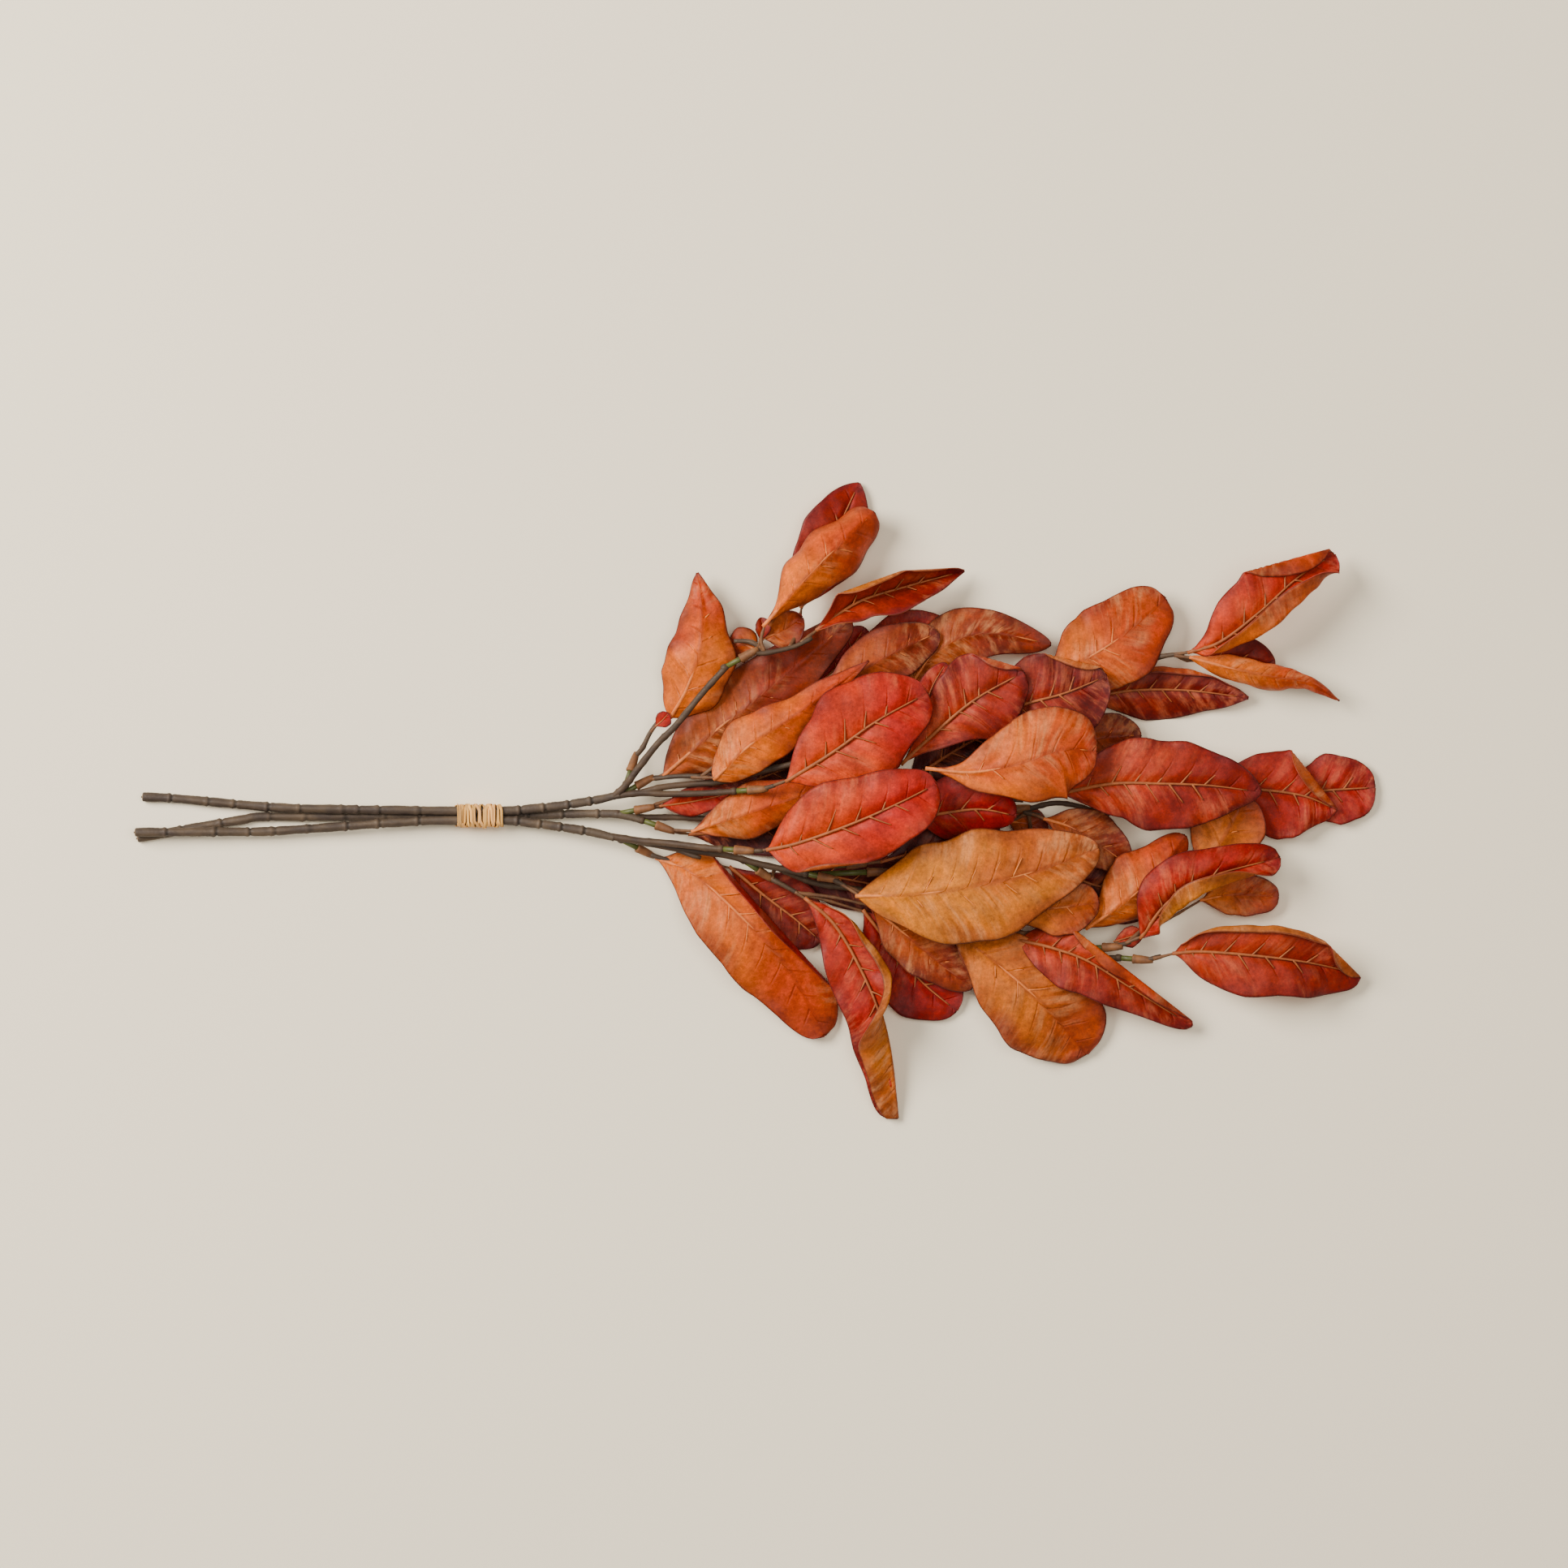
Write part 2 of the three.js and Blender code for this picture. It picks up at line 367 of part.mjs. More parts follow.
// Sprigs: each has its own twigs, which start in the sleeve, and its leaves.
const SPRIGS = {
  upper_left: {
    colour: "orange",
    twigs: [[[86, 36, 10.5], [90, 44, 10.5], [95, 51, 10.5]]],
    leaves: [
      leaf("under", 42, [[101, 52, 11], [111, 69, 20], [118, 92, 22], [115, 129, 10]], [[94, 49, 10.8]],
        { widest: 0.45, blunt: 0.7, fold: [-12, 6], curl: [-30, -40] }),
      leaf("upper", 9, [[93, 47.5, 12.5], [96.5, 50.5, 14], [100, 54.5, 14]], [[90, 44, 10.5]], { wave: 0 }),
    ],
  },
  top: {
    colour: "orange",
    twigs: [
      [[150, 86, 29], [165, 89, 29], [176, 94, 28]],
      [[148, 85.6, 29], [147, 90, 22], [142, 92.4, 19], [134.5, 92.6, 18.4]],
    ],
    leaves: [
      leaf("under", 44, [[150, 100, 31], [178, 131, 34], [209, 161, 20]], [[151, 86.4, 29], [149, 93, 30]],
        { fold: [-12, -12], curl: [-80, -75], blunt: 0.35 }),
      leaf("upper", 38, [[170, 110, 13], [184, 140, 11], [201, 177, 3]], [[164, 89, 28.6], [168, 97, 22]],
        { fold: [8, 0], blunt: 0.7 }),
      leaf("upper", 36, [[178, 98, 26], [200, 113, 19], [226, 121.5, 15], [257, 130, 9]], [[170, 91.5, 28.6]],
        { fold: [46, 46], widest: 0.5, blunt: 0.8 }),
      leaf("under", 19, [[147, 87.5, 17], [140, 90.5, 13.5], [132, 88.5, 12]], [[150, 86, 28.6], [148.5, 86, 21]],
        { curl: [-15, -15] }),
      leaf("under", 22, [[150, 94, 22], [160, 98, 23], [171, 105, 22]], [[150, 86.6, 29], [148, 91, 23]],
        { fold: [30, 20], wave: 2 }),
      leaf("upper", 10, [[148.4, 93, 22], [150, 99, 24], [149, 105, 23]], [[147.4, 87.6, 25.8]], { fold: [20, 20], wave: 0 }),
    ],
  },
  left_brown: {
    colour: "brown",
    twigs: [[[94, 20, 11.4], [106, 21, 15.4], [117, 21, 20]]],
    leaves: [
      leaf("under", 44, [[97, 21, 12], [125, 45, 14], [150, 65, 16], [197, 104, 12]], [[91, 19.2, 11.2]],
        { widest: 0.45, blunt: 0.45, fold: [-8, 8], curl: [-20, -28] }),
      leaf("under", 34, [[124, 19, 23], [142, 37, 30], [162, 51, 32], [184, 67, 29]], [[112, 20.4, 18.4]],
        { widest: 0.42, blunt: 0.7, curl: [-50, -35] }),
      leaf("under", 32, [[180, 67, 23], [200, 76, 25], [222, 88, 23], [243, 97, 17]],
        [[117, 20.6, 20], [140, 38, 23], [164, 56, 23]], { curl: [-35, -25], blunt: 0.45 }),
      leaf("upper", 24, [[180, 70, 5], [193, 83, 5], [204, 100, 4]], [[96, 20.2, 11.6], [120, 34, 6], [150, 52, 5]],
        { blunt: 0.5 }),
      leaf("upper", 26, [[196, 82, 9], [220, 94, 9.5], [250, 103, 8]], [[164, 56, 22.6], [178, 68, 15]], { blunt: 0.8 }),
    ],
  },
  centre_red: {
    colour: "red",
    twigs: [[[151, 14.5, 26], [156, 16, 30]]],
    leaves: [
      leaf("upper", 54, [[162, 18, 34], [186, 33, 40], [210, 50, 43], [237, 65, 38]], [[154, 15.4, 28.4]],
        { widest: 0.52, blunt: 0.38, fold: [8, 8], curl: [-26, -26] }),
    ],
  },
  upper_middle: {
    colour: "burgundy",
    twigs: [
      [[184, 31.5, 24], [205, 29, 23], [216, 27.6, 24]],
      [[203, 29.2, 23], [225, 38, 19], [252, 48, 17.5], [285, 66, 14]],
    ],
    leaves: [
      leaf("upper", 48, [[223, 27, 26], [250, 52, 31], [266, 64, 32], [288, 76, 31]], [[213, 28, 23.6]],
        { widest: 0.6, blunt: 0.4, fold: [6, 6], curl: [-16, -20] }),
      leaf("upper", 52, [[262, 51, 20], [290, 59.5, 26], [310, 65, 27.5], [332, 74, 26]], [[246, 45.6, 17.6]],
        { widest: 0.55, blunt: 0.4, fold: [4, 4], curl: [-14, -14] }),
      leaf("under", 30, [[226, 66, 12], [243, 88, 14], [268, 97, 15], [303, 91, 12]], [[208, 30.4, 22], [214, 46, 15]],
        { widest: 0.5, blunt: 0.6, curl: [-20, -20] }),
      leaf("upper", 14, [[236, 58, 20], [240, 69, 21], [247, 81, 20]], [[232, 40.6, 18.6]], { wave: 0 }),
      leaf("under", 48, [[297, 71, 16], [319, 82, 20], [337, 93, 22], [364, 115, 12]], [[282, 64.4, 14.4]],
        { widest: 0.58, blunt: 0.36, fold: [6, 10], curl: [-20, -28] }),
      leaf("upper", 34, [[320, 62, 8], [346, 66.5, 8], [376, 66.5, 8], [408, 62.5, 7]], [[283, 65, 14], [300, 61, 12]],
        { widest: 0.5, blunt: 0.8, fold: [4, -12], curl: [0, -20], lip: [110, 0] }),
    ],
  },
  right_upper: {
    colour: "red",
    twigs: [[[359, 84, 16], [366, 85.2, 18.5], [373, 85.6, 21]]],
    leaves: [
      leaf("upper", 46, [[375, 86.4, 22], [392, 92, 26], [413, 108, 28], [433, 126, 24], [453, 139, 14]], [[368, 85.4, 20.4]],
        { widest: 0.6, blunt: 0.42, fold: [6, 6], curl: [-10, 0], lip: [0, 120] }),
      leaf("upper", 26, [[380, 82, 13], [400, 84, 12], [422, 79, 8]], [[369, 85, 20], [374, 82.6, 16]], { blunt: 0.45 }),
      leaf("under", 32, [[376, 84, 22], [396, 78.5, 25], [418, 74, 24], [437, 71, 20], [456, 61, 12]], [[368, 85, 20.4]],
        { widest: 0.42, blunt: 0.9, fold: [-10, -10], curl: [-105, -105] }),
    ],
  },
  small_red: {
    colour: "red",
    twigs: [],
    leaves: [
      leaf("upper", 16, [[95, 5, 14], [112, 7.4, 12], [136, 12.4, 11]], [[89, 4.1, 14.4]], { fold: [14, 5], blunt: 0.9 }),
      leaf("upper", 12, [[108, 10.6, 12], [128, 17, 11], [147, 21, 10]], [[89, 4.1, 14.8], [97, 7.4, 13]], { wave: 0 }),
    ],
  },
  centre_left: {
    colour: "gold",
    twigs: [],
    leaves: [
      leaf("under", 30, [[112, -8.5, 15], [132, -2, 18], [155, 5.5, 19], [187, 15.5, 17]], [[101, -7.8, 13.8]],
        { widest: 0.55, blunt: 0.75, fold: [5, -5], curl: [-25, -40] }),
    ],
  },
  centre: {
    colour: "orange",
    twigs: [[[212, 10.2, 16], [235, 11, 18], [262, 10, 17], [288, 8, 17]]],
    leaves: [
      leaf("under", 52, [[236, 25, 38], [261, 23, 45], [286, 28, 49], [307, 35, 48], [326, 34, 43]],
        [[240, 11, 18], [240, 17, 28]], { widest: 0.66, blunt: 0.4, fold: [14, 14], curl: [-42, -42] }),
      leaf("upper", 38, [[232, -1, 28], [246, 1.5, 30], [265, 3.5, 31], [284, 0, 28]], [[224, 10.6, 17], [226, 4, 22]],
        { widest: 0.45, blunt: 0.45, fold: [6, -20], curl: [-12, -14] }),
      leaf("upper", 50, [[308, 12, 26], [335, 17, 30], [360, 17, 31], [386, 16, 29], [414, 12.5, 24]],
        [[284, 8.4, 17], [296, 9.4, 21]], { widest: 0.48, blunt: 0.62, fold: [6, 4], curl: [-18, -24] }),
      leaf("under", 30, [[296, 31, 10], [322, 40, 7], [351, 43, 5]], [[256, 10.2, 17], [276, 20, 13]], { blunt: 0.45 }),
    ],
  },
  right: {
    colour: "red",
    twigs: [
      [[289, 2, 9.6], [297, 0, 11]],
      [[288, 2.6, 9.4], [304, 6.6, 9], [318, 5, 8], [332, 1, 7], [350, 6, 6.6], [366, 11.6, 7]],
    ],
    leaves: [
      leaf("under", 30, [[299, -1.6, 13], [313, -6, 15], [328, -15, 14], [346, -28, 11]], [[292, 1.2, 10.2]],
        { fold: [10, 10], curl: [-30, -30] }),
      leaf("upper", 48, [[380, 14.5, 8], [411, 14, 10], [437, 10.5, 10], [455, 3, 8]], [[362, 10.6, 7]],
        { widest: 0.55, blunt: 0.6, fold: [2, 2], curl: [-6, -6] }),
      leaf("upper", 38, [[418, 14, 4], [440, 13, 4], [458, 14, 4.5], [475.5, 15, 4]], [[364, 11, 6.6], [390, 13, 4.4]],
        { widest: 0.6, blunt: 0.36, wave: 0.5 }),
      leaf("under", 20, [[280, -3, 5], [290, -4.5, 4.5], [301, -9, 4]], [[290, 1.4, 9.4], [284, -2, 6]], { wave: 0.5 }),
    ],
  },
  front: {
    colour: "red",
    twigs: [[[144, -18.6, 31], [150, -18.4, 33.4]]],
    leaves: [
      leaf("upper", 48, [[152, -18, 34], [168, -14.5, 40], [196, -4.5, 48], [222, 7, 51], [241.5, 17, 48]], [[147, -18.5, 32.2]],
        { widest: 0.5, blunt: 0.4, fold: [8, 6], curl: [-22, -18] }),
    ],
  },
  lower_left: {
    colour: "orange",
    twigs: [[[92, -21.4, 6], [104, -25, 6]]],
    leaves: [
      leaf("under", 52, [[93, -22.5, 4.5], [113, -31, 11], [140, -55, 20], [163, -81, 15], [183, -117, 5.5]], [[90.5, -21, 5]],
        { widest: 0.56, blunt: 0.4, fold: [0, 4], curl: [-34, -18] }),
      leaf("upper", 36, [[132, -27, 6], [150, -42, 6], [167, -55, 6], [181, -67, 4.5]], [[100, -24, 6], [116, -25, 5.5]],
        { blunt: 0.5 }),
    ],
  },
  lower_middle: {
    colour: "red",
    twigs: [[[158, -35.4, 13.4], [170, -42, 13.6]]],
    leaves: [
      leaf("upper", 34, [[172, -43.5, 15], [188, -58, 16], [202, -82, 17], [213, -108, 17], [219, -134, 11], [222, -161, 3]],
        [[167, -40.4, 14.8]], { widest: 0.5, blunt: 0.6, roll: [0, 0, 15, 105, 170, 180], curl: [-10, -10] }),
      leaf("upper", 42, [[203, -50, 8], [217, -68, 6], [234, -88, 4.5], [253, -104, 3.5]], [[168, -41, 14.4], [184, -45, 11]],
        { blunt: 0.45, wave: 0.5 }),
      leaf("under", 30, [[206, -47, 13], [222, -60, 14], [240, -75, 13], [261, -92, 10]], [[168, -41, 14.4], [188, -43.4, 13]],
        { blunt: 0.6, curl: [-15, -15] }),
    ],
  },
  dark: {
    colour: "burgundy",
    twigs: [],
    leaves: [
      leaf("upper", 26, [[212, -24.6, 20], [234, -18.5, 19], [256, -12, 18], [276, -8.5, 16]], [[202, -25.6, 20]],
        { blunt: 0.6, curl: [0, -10] }),
    ],
  },
  front_gold: {
    colour: "gold",
    twigs: [[[187, -33.6, 22.2], [194, -37.4, 24.6]]],
    leaves: [
      leaf("under", 60, [[199, -42.5, 28], [230, -41.5, 35], [260, -37, 38], [291, -30, 37], [328, -17, 29]],
        [[191, -35.8, 23.6]], { widest: 0.48, blunt: 0.5, fold: [14, 10], curl: [-40, -34] }),
      leaf("under", 30, [[278, -54, 25], [296, -50, 27.5], [312, -48, 27.5], [328, -46, 24]],
        [[193, -37, 24.2], [214, -45, 24], [248, -50, 22]], { blunt: 0.4, curl: [-14, -14] }),
    ],
  },
  bottom: {
    colour: "orange",
    twigs: [[[213, -30, 16.4], [224, -38, 17.4], [243, -52, 18], [262, -59.4, 18], [276, -63.4, 19]]],
    leaves: [
      leaf("under", 54, [[248, -60.5, 18], [267, -73, 21], [290, -92, 21], [309, -111, 12], [322, -127, 4]], [[243, -52, 18]],
        { widest: 0.58, blunt: 0.36, fold: [8, 8], curl: [-24, -28] }),
      leaf("upper", 36, [[286, -66, 21], [303, -70, 24.5], [322, -77, 26], [346, -92, 21], [378, -112, 8]], [[272, -62.4, 18.6]],
        { widest: 0.42, blunt: 0.8, fold: [0, 8], curl: [-30, -10] }),
      leaf("under", 40, [[321, -60, 17], [339, -47.5, 21], [356, -33, 22], [374, -10.5, 17]],
        [[274, -63, 18.6], [292, -62, 14], [308, -61, 15]], { widest: 0.55, blunt: 0.5, fold: [4, -22], curl: [-34, -44] }),
    ],
  },
  right_lower: {
    colour: "red",
    twigs: [[[354, -76.4, 16.2], [361, -74.6, 18.2]]],
    leaves: [
      leaf("upper", 44, [[367, -73, 20], [382, -72, 22], [410, -74, 24], [440, -78, 20], [468.5, -84.6, 6]], [[357, -75.8, 18]],
        { widest: 0.52, blunt: 0.6, fold: [8, 4], curl: [0, -14], lip: [90, 0] }),
    ],
  },
  right_middle: {
    colour: "gold",
    twigs: [[[338, -69, 16], [345, -67, 17]]],
    leaves: [
      leaf("upper", 38, [[350, -65, 19], [364, -46, 27], [384, -33, 30], [424, -22, 20]], [[342, -67.8, 16.6]],
        { widest: 0.5, blunt: 0.4, fold: [25, 6], curl: [-60, 0], lip: [0, 130] }),
      leaf("under", 24, [[382, -45, 8], [401, -42, 9], [424, -43, 7]], [[343, -67.4, 16.6], [360, -58, 10]],
        { blunt: 0.36, wave: 0.5 }),
      leaf("under", 40, [[378, -38, 12], [389, -21, 14], [398, -5, 15], [406, 11, 14]], [[343, -67.4, 16.6], [359, -54, 12]],
        { widest: 0.62, blunt: 0.45, wave: 0.5 }),
      leaf("upper", 11, [[336, -67, 12], [344, -64.6, 11.6], [352, -62, 11]], [[340, -68.4, 16]], { wave: 0 }),
    ],
  },
};

// The raffia tie: a ridged band wound round the three stems, flat underneath where it rests.
const TIE_CENTRES = [
  [2.55, 8.3],
  [0, 3.9],
  [-2.55, 8.3],
];

// The outline of a band of the given radius drawn tight round the three stems.
function bandOutline(x, radius, isOutside) {
  return Array.from({ length: TIE_SIDES }, (_, i) => {
    const angle = ((i + 0.5) / TIE_SIDES) * Math.PI * 2;
    const y = Math.cos(angle);
    const z = Math.sin(angle);
    const reaches = TIE_CENTRES.map((centre) => centre[0] * y + centre[1] * z);
    const centre = TIE_CENTRES[reaches.indexOf(Math.max(...reaches))];
    const isUnderneath = isOutside && z < -0.75;
    return new THREE.Vector3(x, centre[0] + radius * y, isUnderneath ? 0 : centre[1] + radius * z);
  });
}

function raffiaTie() {
  const stations = 2 * TIE_WINDS + 1;
  const loops = [];
  for (let s = 0; s < stations; s++) {
    const x = THREE.MathUtils.lerp(TIE_X[0], TIE_X[1], s / (stations - 1));
    const ridge = s % 2 === 1 ? TIE_RIDGE : 0;
    loops.push([bandOutline(x, TIE_RADIUS - TIE_RIDGE + ridge, true), bandOutline(x, TIE_BORE_RADIUS, false)]);
  }
  const points = loops.flat(2);
  const faces = [];
  const at = (s, inner, i) => (2 * s + inner) * TIE_SIDES + (i % TIE_SIDES);
  for (let i = 0; i < TIE_SIDES; i++) {
    for (let s = 0; s + 1 < stations; s++) {
      faces.push([at(s, 0, i), at(s, 0, i + 1), at(s + 1, 0, i + 1)]);
      faces.push([at(s, 0, i), at(s + 1, 0, i + 1), at(s + 1, 0, i)]);
      faces.push([at(s, 1, i), at(s + 1, 1, i + 1), at(s, 1, i + 1)]);
      faces.push([at(s, 1, i), at(s + 1, 1, i), at(s + 1, 1, i + 1)]);
    }
    const last = stations - 1;
    faces.push([at(0, 0, i), at(0, 1, i), at(0, 1, i + 1)], [at(0, 0, i), at(0, 1, i + 1), at(0, 0, i + 1)]);
    faces.push([at(last, 0, i), at(last, 1, i + 1), at(last, 1, i)]);
    faces.push([at(last, 0, i), at(last, 0, i + 1), at(last, 1, i + 1)]);
  }
  return solidOf(indexedGeometry(points, faces));
}

// A main stem with its branches and the pegs that they end in.
function stemSolid(points, rings, endRadius, branches, pegNames) {
  let solid = ringedStem(points, rings, endRadius);
  branches.forEach(([path, from, to]) => {
    solid = solid.add(twig(path, from, to));
  });
  pegNames.forEach((name) => {
    solid = solid.add(peg(PEGS[name]));
  });
  return solid;
}

// A solid without the specks, solid or hollow, that are left where thin sheets cross.
function cleaned(solid) {
  return wasm.Manifold.compose(solid.decompose().filter((piece) => piece.volume() > SPECK));
}

// A sprig: its sleeve, twigs and leaves as one body.
function sprigSolid(name) {
  const { twigs, leaves } = SPRIGS[name];
  let solid = sleeve(PEGS[name]);
  twigs.forEach((points, i) => {
    const path = i === 0 ? [sleeveEnd(PEGS[name]), ...points] : points;
    solid = solid.add(twig(path, TWIG_RADIUS, STALK_RADIUS));
  });
  leaves.forEach((each) => {
    solid = solid.add(leafSolid(each));
  });
  return cleaned(solid);
}

function addMesh(group, name, solid, colour, roughness) {
  const material = new THREE.MeshStandardMaterial({ color: COLOURS[colour], roughness, metalness: 0 });
  const mesh = new THREE.Mesh(geometryOf(solid), material);
  mesh.name = name;
  group.add(mesh);
}

const group = new THREE.Group();
const topPegs = ["upper_left", "top", "left_brown", "centre_red", "upper_middle", "right_upper"];
const middlePegs = ["small_red", "centre_left", "centre", "right"];
const bottomPegs = [
  "front", "lower_left", "lower_middle", "dark", "front_gold", "bottom", "right_lower", "right_middle",
];
addMesh(group, "stem_top", stemSolid(TOP_STEM, TOP_RINGS, 2.1, TOP_BRANCHES, topPegs), "bark", 0.7);
addMesh(group, "stem_middle", stemSolid(MIDDLE_STEM, MIDDLE_RINGS, 2.1, MIDDLE_BRANCHES, middlePegs), "bark", 0.7);
addMesh(group, "stem_bottom", stemSolid(BOTTOM_STEM, BOTTOM_RINGS, 2.1, BOTTOM_BRANCHES, bottomPegs), "bark", 0.7);
addMesh(group, "raffia_tie", raffiaTie(), "raffia", 0.8);
Object.entries(SPRIGS).forEach(([name, sprig]) => {
  addMesh(group, "sprig_" + name, sprigSolid(name), sprig.colour, 0.75);
});

export default group;
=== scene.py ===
import math

import bpy
import numpy as np
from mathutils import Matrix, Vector


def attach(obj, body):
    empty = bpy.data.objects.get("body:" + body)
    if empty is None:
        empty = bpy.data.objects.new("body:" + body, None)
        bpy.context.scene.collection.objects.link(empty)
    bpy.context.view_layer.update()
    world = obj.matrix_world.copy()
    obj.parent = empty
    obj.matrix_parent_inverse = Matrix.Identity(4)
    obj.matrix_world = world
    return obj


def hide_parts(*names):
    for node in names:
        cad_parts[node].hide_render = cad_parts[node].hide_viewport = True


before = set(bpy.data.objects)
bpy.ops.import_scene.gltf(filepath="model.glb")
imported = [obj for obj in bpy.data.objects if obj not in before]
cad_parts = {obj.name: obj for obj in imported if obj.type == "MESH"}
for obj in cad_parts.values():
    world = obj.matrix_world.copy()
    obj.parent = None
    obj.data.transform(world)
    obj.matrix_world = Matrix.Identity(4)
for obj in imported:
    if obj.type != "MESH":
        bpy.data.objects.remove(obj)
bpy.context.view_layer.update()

# Lengths are in millimetres until a mesh is made. The surface is z = 0.
MM = 0.001
UP = np.array([0.0, 0.0, 1.0])
RIPPLE_WAVES = 5
RIPPLE_HEIGHT = 3.2  # about the most that the waves reach together

# Leaves. A place along is a share of the length, and a reach is a share of the half width.
BLADE_THICKNESS = 0.6
BLADE_END_HALF_WIDTH = 0.6
FULL_BLADE = 40  # narrower blades have shallower relief
SMALL_BLADE = 20  # narrower blades have the coarser grid and no side ribs
GRID = (58, 32)  # cells along and across
SMALL_GRID = (30, 16)
MARGIN_STEPS = 12  # steps in which the bend of a half is added up
CLOSE_FROM, CLOSE_BY = 0.42, 0.72  # places where a half starts to close over the other and is closed
LIP_START, LIP_RUN = 0.1, 0.85  # the place where a turned-over margin starts, and how far it runs
LIP_EASE = 0.22  # the reach in which it turns
CREASE_RADIUS = 1.2
MARGIN_RUNS = [(0.07, 1.3, 0.16), (0.035, 3.3, 0.3)]  # straight runs: reach, number, shift between leaves
MARGIN_HALF_WAVES = 3.4
RELIEF_STARTS, RELIEF_STOPS = (0.02, 0.15), (0.82, 0.98)  # places
QUILT_RISE = 0.65  # how far the blade swells between side veins
QUILT_STARTS, QUILT_STOPS = (0, 0.22), (0.7, 1)  # reaches
DENT_RISE, DENT_SIZE = 0.65, 34
FLUTTER_RISE, FLUTTER_LENGTHS = 1.1, (22, 38)
MIDRIB_SINK, MIDRIB_SINK_REACH = 0.9, 0.16
VEIN_SPACING = 13
VEIN_SLOPE = 0.8  # how far a side vein runs forward for each millimetre outwards
VEIN_BEND = 0.012  # how much less it runs forward further out
RIB_LIFT = 0.24  # from the middle of the blade to the middle of a rib
MIDRIB_RADIUS, MIDRIB_TAPER = 1.2, 0.9
MIDRIB_END, MIDRIB_RINGS, MIDRIB_SIDES = 0.93, 30, 6
SIDE_RIB_RADIUS, SIDE_RIB_TAPER = 0.66, 0.4
SIDE_RIB_RINGS, SIDE_RIB_SIDES = 9, 5
UPPER_RIB_REACH, UNDER_RIB_REACH = 0.38, 0.34
SIDE_RIB_LAST, SIDE_RIB_LIMIT = 0.74, 0.95  # where the last one starts, and what none goes past
BLUSH_PATCH, EDGE_PATCH, SHADE_PATCH = 46, 30, 22  # sizes of the patches of colour
EDGE_SHARE = 0.62  # how much of the margin's colour is taken on

# Stems
STEM_RADIUS = 2.4
STEM_END_RADIUS = 2.1
STEM_SIDES = 16
STEM_SLICE = 0.7
TAPER_FROM, TAPER_LENGTH = 40, 40
RING_RISE, RING_WIDTH = 0.4, 0.8
GROOVE_DEPTH, GROOVE_WIDTH, GROOVE_AFTER = 0.5, 0.6, 1.6  # the groove lies a little after its ring
RING_SHADE, GROOVE_SHADE, SHADE_WIDTH = 0.3, 0.6, 0.7
CUT_RADII, CORE_RADII = [1.7, 1.9], [0.55, 0.55]  # the cut end of a stem and its dark core
TWIG_SIDES = 10
STALK_SIDES = 8
KNOT_RISE, KNOT_WIDTH = 0.3, 1.3
PEG_RADIUS = 1.5
PEG_DEPTH = 5
PEG_SIDES = 12
COLLAR_RADII, COLLAR_LENGTH = [1.6, 2.1, 2.1, 1.7], 2.2
SLEEVE_LENGTH = 11
SLEEVE_SIDES = 14
SLEEVE_OVERLAP = 2  # how far the first twig reaches back into it
TWIG_RADIUS = 1.5
STALK_RADIUS = 1.15
STALK_TIP_RADIUS = 0.6
# Distances from a sleeve's mouth, and its radius there.
SLEEVE_PROFILE = [
    (0, 1.95), (0.05, 2.5), (0.8, 2.65), (1.6, 2.45), (5, 2.3), (8, 2), (SLEEVE_LENGTH, TWIG_RADIUS),
]

# Raffia
TIE_X = (-12.6, 10.8)
TIE_CENTRES = [(2.55, 8.3), (0, 3.9), (-2.55, 8.3)]  # y and z of the three stems there
TIE_STRANDS = 24
TIE_SLANT = 2.2
TIE_TURNS = 1.05
TIE_LIFT, TIE_LAYERS = 0.35, 0.45  # the space under the lowest strands, and up to the highest
STRAND_WIDTH = 1.4
STRAND_THICKNESS = 0.34
STRAND_STEPS = 48  # in one turn
LOOSE_LIFT, LOOSE_WIDTH = 1.15, 1.7
STRAND_SECTION = [(-0.5, 0), (-0.25, 0.9), (0, 0.6), (0.28, 1), (0.5, 0), (0.2, -0.5), (-0.2, -0.5)]
# Strands that lie over the others: where they start and end, the first angle, the turns, how far ends lift.
LOOSE_STRANDS = [
    (-11, -2, 1.2, 1.6, 2.2),
    (-9.5, 3, 1.9, 1.3, 1.6),
    (-12, -6, 0.9, 1.2, 2.6),
    (-3, 7, 1.5, 1.1, 0.8),
    (9.5, 1, 2.0, 1.2, 0.7),
]

# The setting, in metres
FLOOR_SIZE, FLOOR_CENTRE = 20, (0.16, 0, 0)
CAMERA_OVER = (0.1611, 0.0168)
CAMERA_HEIGHT = 4.5
CAMERA_WIDTH = 0.8346  # what the picture spans on the surface
WORLD_COLOUR, WORLD_STRENGTH = (1.0, 0.95, 0.88, 1), 0.26
LIGHT_COLOUR, LIGHT_AIM = (1.0, 0.945, 0.87), (0.2, 0, 0)
# Each light: its place, its size and its power in watts.
LIGHTS = {
    "main light": ((-1.55, 0.85, 1.8), 1.5, 130),
    "fill light": ((0.7, 0.2, 2.6), 1.8, 40),
}

STEM_SEED, TIE_SEED, SPRIG_SEED = 3, 11, 20  # counted up from one stem or sprig to the next

# Dyed cloth: how deep its colours are and what they are multiplied by.
DYE_DEPTH = 1.5
WARM = np.array([0.82, 0.78, 0.16])


def srgb(r, g, b):
    """A colour given as 0 to 255, as linear light."""
    shares = [c / 255 for c in (r, g, b)]
    return np.array([c / 12.92 if c <= 0.04045 else ((c + 0.055) / 1.055) ** 2.4 for c in shares])


def rich(r, g, b):
    """A deeper, more saturated colour, for dyed cloth that scatters little white light."""
    return srgb(r, g, b) ** DYE_DEPTH * WARM


